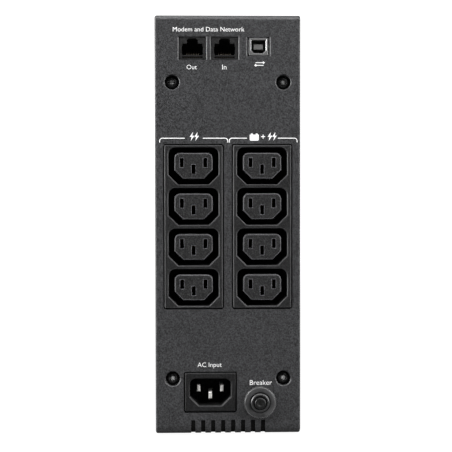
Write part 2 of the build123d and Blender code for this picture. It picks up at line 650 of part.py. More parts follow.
def display_window():
    """The glossy window set flush in the bezel, pierced for the button and the lights."""
    window = crown_slab(WINDOW_HALF, WINDOW_LOW, WINDOW_HIGH, WINDOW_DEPTH - 0.05)
    window = fillet(window.edges().filter_by(Axis.Y), 0.9)
    window -= rod_y(POWER_RADIUS + 2.2, 0, BUTTON_Z, FRONT_Y - 12, FRONT_Y + 1)
    for z in LIGHT_ZS:
        window -= rod_y(1.25, 0, z, FRONT_Y - 12, FRONT_Y + 1)
    return window


def button_ring():
    """The clear ring round the power button, which lights up."""
    y0, y1 = FRONT_Y - WINDOW_DEPTH, FRONT_Y - 0.35
    ring = rod_y(POWER_RADIUS + 2.1, 0, BUTTON_Z, y0 + 0.15, y1)
    ring = fillet(rim(ring, y1), 0.3)
    return ring - rod_y(POWER_RADIUS + 0.3, 0, BUTTON_Z, y0 - 1, y1 + 1)


def power_button():
    """The power button: a dished cap with a collar and a stem that reaches its switch."""
    cap = rod_y(POWER_RADIUS, 0, BUTTON_Z, COLLAR_Y - 2.0, FRONT_Y - 0.7)
    cap = fillet(rim(cap, FRONT_Y - 0.7), 0.6)
    cap -= Pos(0, FRONT_Y - 0.7 + 59.0, BUTTON_Z) * Sphere(59.35)
    collar = rod_y(POWER_RADIUS + 1.2, 0, BUTTON_Z, COLLAR_Y - 2.0, COLLAR_Y)
    return cap + collar + rod_y(2.0, 0, BUTTON_Z, SWITCH_TIP_Y + POWER_TRAVEL + 0.3, COLLAR_Y)


SWITCH_TIP_Y = FRONT_BOARD_Y + BOARD_THICKNESS + 5.0
COLLAR_Y = FRONT_Y - 3.2 - 0.5


def power_switch():
    """The small push switch behind the power button."""
    y0 = FRONT_BOARD_Y + BOARD_THICKNESS
    return block(-3.0, 3.0, y0, y0 + 3.6, BUTTON_Z - 3.0, BUTTON_Z + 3.0) + rod_y(
        1.75, 0, BUTTON_Z, y0 + 3.6, SWITCH_TIP_Y
    )


def status_light_pipes():
    """Three clear rods that carry the status lights to the window."""
    return group(
        fillet(rim(rod_y(1.2, 0, z, FRONT_BOARD_Y + 4.0, FRONT_Y), FRONT_Y), 0.2) for z in LIGHT_ZS
    )


def front_board():
    """The board behind the bezel, with its lamps."""
    board = block(-29.0, 29.0, FRONT_BOARD_Y, FRONT_BOARD_Y + BOARD_THICKNESS, 144.0, 244.0)
    for x, z in front_screw_places():
        board -= rod_y(1.3, x, z, FRONT_BOARD_Y - 1, FRONT_BOARD_Y + 3)
    return board


def buzzer():
    """The round sounder at the back of the front board."""
    can = rod_y(6.0, 16.0, 200.0, FRONT_BOARD_Y - 8.0, FRONT_BOARD_Y)
    return fillet(rim(can, FRONT_BOARD_Y - 8.0), 0.6) - rod_y(1.0, 16.0, 200.0, FRONT_BOARD_Y - 9, FRONT_BOARD_Y - 5)


def battery_door():
    """The snap-on door over the battery tray, hollow, with finger grooves across its top."""
    z1 = DOOR_TOP_Z - SHUT_LINE
    door = front_skin(BASE_Z, z1, DOOR_BACK_Y)
    door -= front_form(WALL, BASE_Z, z1, DOOR_BACK_Y - 1.0)
    for i in range(6):
        z = z1 - 9.0 - 5.0 * i
        door -= crown_slab(30.0, z - 0.9, z + 0.9, 0.9)
    for side in (-1, 1):
        for z in HOOK_ZS:
            door += hook(side, z, 0.0)
            web = sorted((side * 37.9, side * (HALF - 1.0)))
            door += block(web[0], web[1], DOOR_BACK_Y, DOOR_BACK_Y + 3.0, z - 4.0, z + 4.0)
    return door


# ---------------------------------------------------------------- chassis
POST_X = 36.6


def chassis_base():
    """The folded steel floor of the chassis, with four upright posts for the shelf."""
    z0 = BASE_PLATE_Z
    y0, y1 = BULKHEAD_Y - 4.0, BEZEL_REAR_Y - 6.0
    plate = block(-POST_X - SHEET, POST_X + SHEET, y0, y1, z0, z0 + SHEET)
    parts = [plate]
    for side in (-1, 1):
        x = sorted((side * POST_X, side * (POST_X + SHEET)))
        parts.append(block(x[0], x[1], y0, y1, z0, z0 + 20.0))
        for ya, yb in ((y0, y0 + 24.0), (y1 - 30.0, y1 - 6.0)):
            parts.append(block(x[0], x[1], ya, yb, z0, SHELF_Z))
    base = join(parts)
    for x, y in foot_places():
        base -= rod_z(3.0, x, y, z0 - 1, z0 + 3)
    slots = [Pos(0, -110.0 + 20.0 * i) * SlotCenterToCenter(16.0, 5.0) for i in range(12)]
    return base - [along_z(slot, z0 - 1, z0 + 3) for slot in slots]


def glide_rails():
    """Two slippery plastic strips that the tray runs on."""
    z0 = BASE_PLATE_Z + SHEET
    return group(
        block(min(x, x + 6 * s), max(x, x + 6 * s), -128.0, 150.0, z0, RAIL_TOP_Z)
        for s, x in ((-1, -14.0), (1, 14.0))
    )


def rear_bulkhead():
    """The upright plate behind the batteries, with a window for the power socket."""
    plate = block(-POST_X + 0.2, POST_X - 0.2, BULKHEAD_Y, BULKHEAD_Y + SHEET, BASE_PLATE_Z + SHEET, SHELF_Z)
    plate -= block(-15.4, 15.4, BULKHEAD_Y - 1, BULKHEAD_Y + 3, PLUG_Z - 7.4, PLUG_Z + 7.4)
    for x in (-26.0, 26.0):
        for z in (40.0, 98.0):
            plate -= rod_y(5.0, x, z, BULKHEAD_Y - 1, BULKHEAD_Y + 3)
    return plate


def shelf_plate():
    """The steel shelf over the batteries, with its two edges folded down over the posts."""
    x = POST_X + SHEET
    y0, y1 = BULKHEAD_Y, BEZEL_REAR_Y - 1.0
    plate = block(-x - SHEET, x + SHEET, y0, y1, SHELF_Z, SHELF_Z + SHEET)
    for side in (-1, 1):
        edge = sorted((side * x, side * (x + SHEET)))
        plate += block(edge[0], edge[1], y0, y1, SHELF_Z - 9.0, SHELF_Z)
    for sx, sy in standoff_places():
        plate -= rod_z(1.6, sx, sy, SHELF_Z - 1, SHELF_Z + 3)
    for sx, sy in transformer_screw_places():
        plate -= rod_z(2.2, sx, sy, SHELF_Z - 1, SHELF_Z + 3)
    return plate


# ---------------------------------------------------------------- transformer
CORE_MID_Y, CORE_STACK, CORE_SPAN, CORE_LENGTH = 96.0, 50.0, 105.0, 87.5
CORE_Z = SHELF_Z + SHEET + SHEET
LEG = 17.5


def transformer_core():
    """The laminated core: three legs along Y between two yokes."""
    x, y = CORE_STACK / 2, CORE_LENGTH / 2
    core = block(-x, x, CORE_MID_Y - y, CORE_MID_Y + y, CORE_Z, CORE_Z + CORE_SPAN)
    for low in (LEG, CORE_SPAN - 2 * LEG):
        window = CORE_LENGTH / 2 - LEG
        core -= block(-x - 1, x + 1, CORE_MID_Y - window, CORE_MID_Y + window, CORE_Z + low, CORE_Z + low + LEG)
    return core


def transformer_coil():
    """The copper winding round the middle leg, as one rounded ring."""
    half = CORE_LENGTH / 2 - LEG - 1.4
    mid_z = CORE_Z + CORE_SPAN / 2
    ring = RectangleRounded(75.0, 4 * LEG - 2.0, 8.0) - Rectangle(CORE_STACK + 2.6, 2 * LEG + 2.6)
    return along_y(ring, CORE_MID_Y - half, CORE_MID_Y + half, 0, mid_z)


def transformer_bobbin():
    """The plastic former that keeps the winding off the core."""
    half = CORE_LENGTH / 2 - LEG - 0.1
    mid_z = CORE_Z + CORE_SPAN / 2
    sleeve = Rectangle(CORE_STACK + 2.4, 2 * LEG + 2.4) - Rectangle(CORE_STACK + 0.2, 2 * LEG + 0.2)
    cheek = Rectangle(76.5, 4 * LEG - 0.4) - Rectangle(CORE_STACK + 0.2, 2 * LEG + 0.2)
    former = along_y(sleeve, CORE_MID_Y - half, CORE_MID_Y + half, 0, mid_z)
    former += along_y(cheek, CORE_MID_Y - half, CORE_MID_Y - half + 1.2, 0, mid_z)
    return former + along_y(cheek, CORE_MID_Y + half - 1.2, CORE_MID_Y + half, 0, mid_z)


def transformer_frame():
    """The steel belt that clamps the core, with feet on the shelf."""
    y = CORE_LENGTH / 2
    outside = block(-20, 20, CORE_MID_Y - y - SHEET, CORE_MID_Y + y + SHEET, CORE_Z - SHEET, CORE_Z + CORE_SPAN + SHEET)
    belt = outside - block(-21, 21, CORE_MID_Y - y, CORE_MID_Y + y, CORE_Z, CORE_Z + CORE_SPAN)
    feet = block(-20, 20, CORE_MID_Y - y - 12.0, CORE_MID_Y + y + 12.0, CORE_Z - SHEET, CORE_Z)
    frame = belt + feet
    for x, py in transformer_screw_places():
        frame -= rod_z(2.2, x, py, CORE_Z - 3, CORE_Z + 1)
    return frame


def transformer_screw_places():
    """X and Y of the screws through the belt's feet."""
    return [(x, CORE_MID_Y + s * (CORE_LENGTH / 2 + 7.0)) for x in (-12.0, 12.0) for s in (-1, 1)]


# ---------------------------------------------------------------- main board
def standoff_places():
    """X and Y of the main board's standoffs."""
    return [(x, y) for x in (-33.0, 33.0) for y in (-136.0, -56.0, 28.0)]


def main_board():
    """The power board over the shelf."""
    board = block(-37.0, 37.0, -141.0, 34.0, BOARD_Z, BOARD_Z + BOARD_THICKNESS)
    for x, y in standoff_places():
        board -= rod_z(1.7, x, y, BOARD_Z - 1, BOARD_Z + 3)
    return board


def board_standoffs():
    """Threaded spacers between the shelf and the main board."""
    return group(
        rod_z(3.2, x, y, SHELF_Z + SHEET, BOARD_Z) - rod_z(1.55, x, y, SHELF_Z, BOARD_Z + 1)
        for x, y in standoff_places()
    )


def inner_screws():
    """The screws of the main board, of the transformer's feet and of the front board."""
    screws = []
    for x, y in standoff_places():
        screw = rod_z(2.8, x, y, BOARD_TOP, BOARD_TOP + 2.0) + rod_z(1.5, x, y, BOARD_TOP - 7.0, BOARD_TOP)
        screws.append(fillet(screw.edges().group_by(Axis.Z)[-1], 0.5))
    for x, y in transformer_screw_places():
        screw = rod_z(3.6, x, y, CORE_Z, CORE_Z + 2.4) + rod_z(2.0, x, y, SHELF_Z - 1.5, CORE_Z)
        screws.append(fillet(screw.edges().group_by(Axis.Z)[-1], 0.5))
    for x, z in front_screw_places():
        y = FRONT_BOARD_Y
        screws.append(rod_y(2.3, x, z, y - 1.6, y) + rod_y(1.15, x, z, y, y + 9.0))
    return group(screws)


BOARD_TOP = BOARD_Z + BOARD_THICKNESS


def heatsinks():
    """Two finned aluminium extrusions that stand on the main board."""
    sinks = []
    for side in (-1, 1):
        back = sorted((side * 17.0, side * 20.0))
        sink = block(back[0], back[1], -100.0, -10.0, BOARD_TOP, BOARD_TOP + 52.0)
        for i in range(8):
            z = BOARD_TOP + 3.0 + 6.6 * i
            fin = sorted((side * 19.0, side * 35.0))
            sink += block(fin[0], fin[1], -100.0, -10.0, z, z + 1.6)
        sinks.append(sink)
    return group(sinks)


def power_transistors():
    """Switching transistors screwed to the inner faces of the heatsinks."""
    packs = []
    for side in (-1, 1):
        for i in range(4):
            y = -88.0 + 22.0 * i
            x = sorted((side * 12.4, side * 17.0))
            pack = block(x[0], x[1], y - 5.0, y + 5.0, BOARD_TOP + 6.0, BOARD_TOP + 15.0)
            tab = sorted((side * 15.7, side * 17.0))
            pack += block(tab[0], tab[1], y - 5.0, y + 5.0, BOARD_TOP + 15.0, BOARD_TOP + 21.5)
            for dy in (-2.5, 0.0, 2.5):
                pack += block(side * 14.6 - 0.3, side * 14.6 + 0.3, y + dy - 0.4, y + dy + 0.4, BOARD_TOP, BOARD_TOP + 6.0)
            packs.append(pack)
    return group(packs)


def bulk_capacitors():
    """Electrolytic cans along the middle of the main board."""
    cans = []
    for i in range(4):
        can = rod_z(9.0, 0.0, -90.0 + 22.0 * i, BOARD_TOP, BOARD_TOP + 36.0)
        cans.append(fillet(can.edges(), 1.0))
    return group(cans)


def relays():
    """The transfer relays, in a row across the front of the main board."""
    return group(
        fillet(block(x - 5.2, x + 5.2, 2.0, 30.0, BOARD_TOP, BOARD_TOP + 16.0).edges().filter_by(Axis.Z), 0.6)
        for x in (-25.0, -12.5, 0.0, 12.5, 25.0)
    )


def filter_choke():
    """A ring core choke that stands at the mains end of the main board."""
    ring = Pos(-19.0, -121.0, BOARD_TOP + 14.0) * Rot(90, 0, 0) * (Cylinder(14.0, 11.0) - Cylinder(7.5, 12.0))
    return fillet(ring.edges(), 1.2)


LEAD_Y = BULKHEAD_Y - 6.5


def mains_wiring():
    """Leads from the inlet by way of the breaker to the main board, and on to the outlets."""
    tab_y = REAR_Y + 29.0
    live, neutral = INLET_X - LINE_PITCH / 2, INLET_X + LINE_PITCH / 2
    tab_z = INLET_Z + EARTH_DROP / 2
    breaker_tab = BREAKER_BACK_Y + 8.0
    low, high = BREAKER_TAB_ZS
    to_breaker = [
        (live, tab_y, tab_z),
        (live, LEAD_Y, tab_z),
        (live, LEAD_Y, low),
        (BREAKER_X, LEAD_Y, low),
        (BREAKER_X, breaker_tab, low),
    ]
    from_breaker = [
        (BREAKER_X, breaker_tab, high),
        (BREAKER_X, LEAD_Y, high),
        (BREAKER_X, LEAD_Y, 130.0),
        (BREAKER_X, -137.0, 130.0),
        (BREAKER_X, -137.0, BOARD_TOP),
    ]
    to_board = [
        (neutral, tab_y, tab_z),
        (neutral, LEAD_Y, tab_z),
        (neutral, LEAD_Y, 130.0),
        (neutral, -137.0, 130.0),
        (neutral, -137.0, BOARD_TOP),
    ]
    leads = [tube(points, 1.4, 2.2) for points in (to_breaker, from_breaker, to_board)]
    leads.append(rod_y(1.4, INLET_X, INLET_Z - EARTH_DROP / 2, tab_y, BULKHEAD_Y))
    for side in (-1, 1):
        for dx in (-LINE_PITCH / 2, LINE_PITCH / 2):
            x = side * OUTLET_X + dx
            points = [
                (x, BUS_Y + 0.8, 150.0),
                (x, -150.0, 150.0),
                (x, -139.0, 136.0),
                (x, -139.0, BOARD_TOP),
            ]
            leads.append(tube(points, 1.3, 4.0))
    return group(leads)


# ---------------------------------------------------------------- battery drawer
def tray_pan():
    """The steel battery tray: a floor, two low sides and two tall ends."""
    z0 = TRAY_Z
    y0, y1 = TRAY_REAR_Y, TRAY_FRONT_Y
    pan = block(-TRAY_HALF, TRAY_HALF, y0, y1, z0, z0 + SHEET)
    for side in (-1, 1):
        x = sorted((side * (TRAY_HALF - SHEET), side * TRAY_HALF))
        pan += block(x[0], x[1], y0, y1, z0, z0 + 14.0)
    for ya in (y0, y1 - SHEET):
        end = along_y(RectangleRounded(2 * TRAY_HALF, TRAY_END_Z - z0, 1.0), ya, ya + SHEET, 0, (TRAY_END_Z + z0) / 2)
        pan += end
    return pan - along_y(SlotCenterToCenter(24.0, 7.0), y1 - 3, y1 + 1, 0, z0 + 14.0)


def battery_cases():
    """The two battery jars, open at the top."""
    w, length, h = BATTERY
    z0 = TRAY_Z + SHEET
    jars = []
    for y0 in BATTERY_YS:
        jar = block(-w / 2, w / 2, y0, y0 + length, z0, z0 + h - 9.0)
        jar = fillet(jar.edges().filter_by(Axis.Z), 2.0)
        jar -= block(-w / 2 + 2.4, w / 2 - 2.4, y0 + 2.4, y0 + length - 2.4, z0 + 2.4, z0 + h)
        jars.append(jar)
    return group(jars)


def terminal_places():
    """X, Y and the sign of each battery terminal, at the ends where the batteries meet."""
    middle = BATTERY_YS[1] - 0.5
    return [(x, middle + s * 8.0, sign) for s in (-1, 1) for x, sign in ((-24.5, -1), (24.5, 1))]


def battery_lids():
    """The lids of the two batteries, each with a raised vent cover and terminal corners."""
    w, length, h = BATTERY
    z1 = TRAY_Z + SHEET + h
    lids = []
    for y0 in BATTERY_YS:
        lid = block(-w / 2, w / 2, y0, y0 + length, z1 - 9.0, z1)
        lid = fillet(lid.edges().filter_by(Axis.Z), 2.0)
        lid = chamfer(lid.edges().group_by(Axis.Z)[-1], 0.6)
        lid -= block(-w / 2 + 2.4, w / 2 - 2.4, y0 + 2.4, y0 + length - 2.4, z1 - 10.0, z1 - 2.4)
        cover = block(-14.0, 14.0, y0 + 24.0, y0 + length - 24.0, z1, z1 + 1.2)
        lid += fillet(cover.edges().filter_by(Axis.Z), 2.0)
        lids.append(lid)
    return group(lids)


def battery_plates():
    """The lead plate stacks, six cells in each battery."""
    w, length, h = BATTERY
    z0 = TRAY_Z + SHEET + 4.0
    pitch = (length - 6.0) / 6
    return group(
        block(-w / 2 + 4.0, w / 2 - 4.0, y0 + 3.0 + pitch * (i + 0.5) - 5.5, y0 + 3.0 + pitch * (i + 0.5) + 5.5, z0, z0 + 72.0)
        for y0 in BATTERY_YS
        for i in range(6)
    )


def battery_terminals():
    """Flat tin-plated tabs, two on each battery."""
    z1 = TRAY_Z + SHEET + BATTERY[2]
    return group(
        block(x - 3.15, x + 3.15, y - 0.4, y + 0.4, z1, z1 + 6.0) - rod_y(0.9, x, z1 + 3.4, y - 1, y + 1)
        for x, y, _ in terminal_places()
    )


PLUG_HALF = (15.0, 7.0)
BLADE_X = 7.0


def battery_plug():
    """The tray's half of the power connector, with two forward blades."""
    y1 = TRAY_REAR_Y - 0.02
    body = block(-PLUG_HALF[0], PLUG_HALF[0], y1 - 6.6, y1, PLUG_Z - PLUG_HALF[1], PLUG_Z + PLUG_HALF[1])
    return chamfer(body.edges().group_by(Axis.Y)[0], 0.8)


def plug_blades():
    """The two copper blades that stand out of the tray's connector."""
    y1 = TRAY_REAR_Y - 6.62
    return group(
        block(s * BLADE_X - 0.6, s * BLADE_X + 0.6, y1 - 9.0, y1, PLUG_Z - 3.0, PLUG_Z + 3.0) for s in (-1, 1)
    )


def battery_socket():
    """The chassis half of the power connector, held in the bulkhead's window."""
    y1 = TRAY_REAR_Y - 7.2
    y0 = BULKHEAD_Y - 4.0
    body = block(-PLUG_HALF[0], PLUG_HALF[0], y0, y1, PLUG_Z - PLUG_HALF[1], PLUG_Z + PLUG_HALF[1])
    flange = block(-18.0, 18.0, BULKHEAD_Y + SHEET, BULKHEAD_Y + SHEET + 1.6, PLUG_Z - 10.0, PLUG_Z + 10.0)
    body += flange
    for s in (-1, 1):
        body -= block(s * BLADE_X - 1.1, s * BLADE_X + 1.1, y0 + 1.5, y1 + 1, PLUG_Z - 3.6, PLUG_Z + 3.6)
    return body


def battery_wiring():
    """The lead that joins the two batteries, and the two leads back to the tray's connector."""
    z1 = TRAY_Z + SHEET + BATTERY[2]
    places = terminal_places()
    low, high = places[1], places[2]
    link = [
        (low[0], low[1] - 1.8, z1 + 3.0),
        (low[0], low[1] - 1.8, z1 + 7.6),
        (high[0], high[1] + 1.8, z1 + 7.6),
        (high[0], high[1] + 1.8, z1 + 3.0),
    ]
    leads = [tube(link, 1.4, 1.8)]
    back = TRAY_REAR_Y - 3.2
    for side, y in ((-1, places[0][1]), (1, places[3][1])):
        points = [
            (side * 24.5, y - 1.9, z1 + 1.6),
            (side * 29.8, y - 7.0, z1 + 1.6),
            (side * 29.8, -108.0, z1 + 1.6),
            (side * 10.0, back, z1 + 1.6),
            (side * 10.0, back, PLUG_Z + PLUG_HALF[1]),
        ]
        leads.append(tube(points, 1.4, 2.0))
    return group(leads)


def pull_strap():
    """The webbing handle riveted to the tray's front, bowed out for the fingers."""
    y = TRAY_FRONT_Y + 0.05
    outer = [(-26.0, y), (-16.0, y), (-10.0, y + 5.0), (10.0, y + 5.0), (16.0, y), (26.0, y)]
    line = FilletPolyline(*[(px, py, 0) for px, py in outer], radius=5.0)
    band = [line @ (i / 48) for i in range(49)]
    inner = [(p.X, p.Y) for p in band]
    outside = [(p.X, p.Y + 1.5) for p in reversed(band)]
    strap = along_z(polygon(inner + outside), 48.0, 66.0)
    return strap


def strap_rivets():
    """Two domed rivets through the ends of the strap."""
    y = TRAY_FRONT_Y + 1.55
    return group(fillet(rim(rod_y(3.2, x, 57.0, y, y + 1.4), y + 1.4), 0.9) for x in (-21.5, 21.5))


# ---------------------------------------------------------------- the nodes
NODES = {
    "rear_panel": rear_panel,
    "rear_screws": rear_screws,
    "left_shell": lambda: half_shell(-1),
    "right_shell": lambda: half_shell(1),
    "rubber_feet": rubber_feet,
    "outlet_housing_left": lambda: outlet_housing(-OUTLET_X),
    "outlet_housing_right": lambda: outlet_housing(OUTLET_X),
    "outlet_cores_left": lambda: outlet_cores(-OUTLET_X),
    "outlet_cores_right": lambda: outlet_cores(OUTLET_X),
    "outlet_contacts": outlet_contacts,
    "inlet_body": inlet_body,
    "inlet_pins": inlet_pins,
    "breaker_case": breaker_case,
    "breaker_nut": breaker_nut,
    "breaker_button": breaker_button,
    "breaker_terminals": breaker_terminals,
    "network_jack_out": lambda: network_jack(JACK_XS[0]),
    "network_jack_in": lambda: network_jack(JACK_XS[1]),
    "data_contacts": data_contacts,
    "usb_shell": usb_shell,
    "usb_insulator": usb_insulator,
    "comm_board": comm_board,
    "surge_arrestors": surge_arrestors,
    "front_bezel": front_bezel,
    "display_window": display_window,
    "button_ring": button_ring,
    "power_button": power_button,
    "power_switch": power_switch,
    "status_light_pipes": status_light_pipes,
    "front_board": front_board,
    "buzzer": buzzer,
    "battery_door": battery_door,
    "chassis_base": chassis_base,
    "glide_rails": glide_rails,
    "rear_bulkhead": rear_bulkhead,
    "shelf_plate": shelf_plate,
    "transformer_core": transformer_core,
    "transformer_coil": transformer_coil,
    "transformer_bobbin": transformer_bobbin,
    "transformer_frame": transformer_frame,
    "main_board": main_board,
    "board_standoffs": board_standoffs,
    "inner_screws": inner_screws,
    "heatsinks": heatsinks,
    "power_transistors": power_transistors,
    "bulk_capacitors": bulk_capacitors,
    "relays": relays,
    "filter_choke": filter_choke,
    "mains_wiring": mains_wiring,
    "battery_socket": battery_socket,
    "tray_pan": tray_pan,
    "battery_cases": battery_cases,
    "battery_lids": battery_lids,
    "battery_plates": battery_plates,
    "battery_terminals": battery_terminals,
    "battery_plug": battery_plug,
    "plug_blades": plug_blades,
    "battery_wiring": battery_wiring,
    "pull_strap": pull_strap,
    "strap_rivets": strap_rivets,
}

for name, make in NODES.items():
    export_step(make(), f"parts/{name}.step")
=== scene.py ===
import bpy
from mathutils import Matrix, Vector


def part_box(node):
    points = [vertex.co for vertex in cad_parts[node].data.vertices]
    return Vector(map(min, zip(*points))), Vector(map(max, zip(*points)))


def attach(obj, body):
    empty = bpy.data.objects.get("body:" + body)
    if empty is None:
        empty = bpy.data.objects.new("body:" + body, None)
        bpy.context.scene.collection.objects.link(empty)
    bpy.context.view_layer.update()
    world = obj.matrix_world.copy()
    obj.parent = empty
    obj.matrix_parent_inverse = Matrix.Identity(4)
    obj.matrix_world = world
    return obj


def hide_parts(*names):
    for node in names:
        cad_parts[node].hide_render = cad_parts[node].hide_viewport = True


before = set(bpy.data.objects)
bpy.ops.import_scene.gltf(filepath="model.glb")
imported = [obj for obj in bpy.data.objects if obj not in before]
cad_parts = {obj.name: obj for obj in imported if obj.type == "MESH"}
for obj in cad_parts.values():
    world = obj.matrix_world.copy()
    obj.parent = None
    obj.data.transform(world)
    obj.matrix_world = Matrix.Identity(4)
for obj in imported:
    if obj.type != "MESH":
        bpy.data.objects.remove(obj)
"""Finishes, fine detail and studio for the tower power supply.

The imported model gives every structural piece. This script dresses each of them, replaces the pieces
whose fine form needs more than the frame holds, prints the legends, and sets up the studio.
All lengths are metres in the frame's own axes: +Z up, -Y out of the connection side.
"""

import logging
import math
from dataclasses import dataclass
from enum import Enum
from typing import Sequence

import bmesh
import bpy
from mathutils import Matrix, Vector

LOG = logging.getLogger("power_supply")
MM = 0.001
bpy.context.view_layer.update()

Socket = bpy.types.NodeSocket
Material = bpy.types.Material
Piece = bpy.types.Object
Form = bmesh.types.BMesh
Colour = tuple[float, float, float]
Point2 = tuple[float, float]
Point3 = tuple[float, float, float]

# The four panel screws: distance from the middle plane, middle height, distance from that height.
SCREW_AXES: Point3 = (33.2 * MM, 123.4 * MM, 88.7 * MM)


def rgba(colour: Colour) -> tuple[float, float, float, float]:
    """A colour with full opacity."""
    return (*colour, 1.0)


def shade(colour: Colour, factor: float) -> Colour:
    """A colour made darker or lighter by a factor."""
    return tuple(min(1.0, channel * factor) for channel in colour)


# ------------------------------------------------------------------ materials
class Bench:
    """Lays out the nodes of one material."""

    MOUTH_START = 0.9 * MM
    MOUTH_END = 4.0 * MM
    SHARP_DOT, FLAT_DOT = 0.86, 0.995

    def __init__(self, name: str) -> None:
        """Start a material with an empty Principled shader."""
        self.material = bpy.data.materials.new(name)
        self.material.use_nodes = True
        self.tree = self.material.node_tree
        self.shader = self.tree.nodes["Principled BSDF"]

    def node(self, kind: str, **settings: object) -> bpy.types.Node:
        """Add a node.

        Args:
            kind: the node's type name.
            settings: attributes to set on it.

        Returns:
            The new node.
        """
        made = self.tree.nodes.new(kind)
        for key, value in settings.items():
            setattr(made, key, value)
        return made

    def wire(self, source: Socket, target: Socket) -> None:
        """Join an output to an input."""
        self.tree.links.new(source, target)

    def place(self, stretch: Sequence[float] = (1.0, 1.0, 1.0)) -> Socket:
        """The object's own coordinates, stretched along each axis."""
        coordinates = self.node("ShaderNodeTexCoord")
        mapping = self.node("ShaderNodeMapping")
        mapping.inputs["Scale"].default_value = stretch
        self.wire(coordinates.outputs["Object"], mapping.inputs["Vector"])
        return mapping.outputs["Vector"]

    def noise(
        self, place: Socket, size_mm: float, detail: float = 3.0, rough: float = 0.55
    ) -> Socket:
        """Noise whose features are about size_mm across."""
        made = self.node("ShaderNodeTexNoise")
        made.inputs["Scale"].default_value = 1.0 / (size_mm * MM)
        made.inputs["Detail"].default_value = detail
        made.inputs["Roughness"].default_value = rough
        self.wire(place, made.inputs["Vector"])
        return made.outputs["Fac"]

    def spread(
        self, source: Socket, low: float, high: float, start: float = 0.0, end: float = 1.0
    ) -> Socket:
        """Map a value from one range onto another, held at the ends.

        Args:
            source: the value to map.
            low: the result at start.
            high: the result at end.
            start: where the source range begins.
            end: where the source range ends.

        Returns:
            The mapped value.
        """
        made = self.node("ShaderNodeMapRange")
        made.inputs["From Min"].default_value = start
        made.inputs["From Max"].default_value = end
        made.inputs["To Min"].default_value = low
        made.inputs["To Max"].default_value = high
        self.wire(source, made.inputs["Value"])
        return made.outputs["Result"]

    def blend(
        self, factor: Socket, first: object, second: object
    ) -> Socket:
        """Mix two colours, each given as a colour or as a socket."""
        made = self.node("ShaderNodeMix", data_type="RGBA")
        self.wire(factor, made.inputs["Factor"])
        for socket, value in ((made.inputs["A"], first), (made.inputs["B"], second)):
            if isinstance(value, Socket):
                self.wire(value, socket)
            else:
                socket.default_value = rgba(value)
        return made.outputs["Result"]

    def combine(
        self, operation: str, first: Socket, second: object
    ) -> Socket:
        """One arithmetic step on a socket and a socket or number."""
        made = self.node("ShaderNodeMath", operation=operation)
        self.wire(first, made.inputs[0])
        if isinstance(second, Socket):
            self.wire(second, made.inputs[1])
        else:
            made.inputs[1].default_value = second
        return made.outputs[0]

    def bump(
        self,
        height: Socket,
        strength: float,
        depth_mm: float,
        under: Socket | None = None,
    ) -> Socket:
        """A bump of a given depth, laid over another normal if one is given."""
        made = self.node("ShaderNodeBump")
        made.inputs["Strength"].default_value = strength
        made.inputs["Distance"].default_value = depth_mm * MM
        self.wire(height, made.inputs["Height"])
        if under is not None:
            self.wire(under, made.inputs["Normal"])
        return made.outputs["Normal"]

    def below(self, mouth_y: float, above: float, under: float) -> Socket:
        """A value that changes over the first few millimetres inside a mouth that faces -Y."""
        split = self.node("ShaderNodeSeparateXYZ")
        self.wire(self.place(), split.inputs[0])
        start, end = mouth_y + self.MOUTH_START, mouth_y + self.MOUTH_END
        return self.spread(split.outputs["Y"], above, under, start, end)

    def near_axes(self, x: float, middle_z: float, half_z: float) -> Socket:
        """A patchy mask round four axes that run along Y, mirrored in X and about a middle height.

        Args:
            x: distance of each axis from the middle plane.
            middle_z: height half way between the upper and lower axes.
            half_z: distance of each axis from that height.

        Returns:
            The mask, 1 at each axis.
        """
        split = self.node("ShaderNodeSeparateXYZ")
        self.wire(self.place(), split.inputs[0])
        across = self.combine("SUBTRACT", self.combine("ABSOLUTE", split.outputs["X"], 0.0), x)
        rise = self.combine("ABSOLUTE", self.combine("SUBTRACT", split.outputs["Z"], middle_z), 0.0)
        rise = self.combine("SUBTRACT", rise, half_z)
        squares = self.combine(
            "ADD", self.combine("MULTIPLY", across, across), self.combine("MULTIPLY", rise, rise)
        )
        reach = self.combine("SQRT", squares, 0.0)
        patches = self.spread(self.noise(self.place(), 0.8, 2.0, 0.6), 0.3, 1.0, 0.4, 0.6)
        return self.combine("MULTIPLY", self.spread(reach, 1.0, 0.0, 0.7 * MM, 1.5 * MM), patches)

    def edge_mask(self, radius_mm: float) -> Socket:
        """A mask that is 1 on sharp edges and 0 on flats."""
        bevel = self.node("ShaderNodeBevel", samples=4)
        bevel.inputs["Radius"].default_value = radius_mm * MM
        geometry = self.node("ShaderNodeNewGeometry")
        product = self.node("ShaderNodeVectorMath", operation="DOT_PRODUCT")
        self.wire(bevel.outputs["Normal"], product.inputs[0])
        self.wire(geometry.outputs["Normal"], product.inputs[1])
        return self.spread(product.outputs["Value"], 1.0, 0.0, self.SHARP_DOT, self.FLAT_DOT)

    def set(self, **values: object) -> None:
        """Set shader inputs by name, with underscores for spaces."""
        for key, value in values.items():
            self.shader.inputs[key.replace("_", " ")].default_value = value

    def feed(self, name: str, source: Socket) -> None:
        """Join an output to one of the shader's inputs."""
        self.wire(source, self.shader.inputs[name])


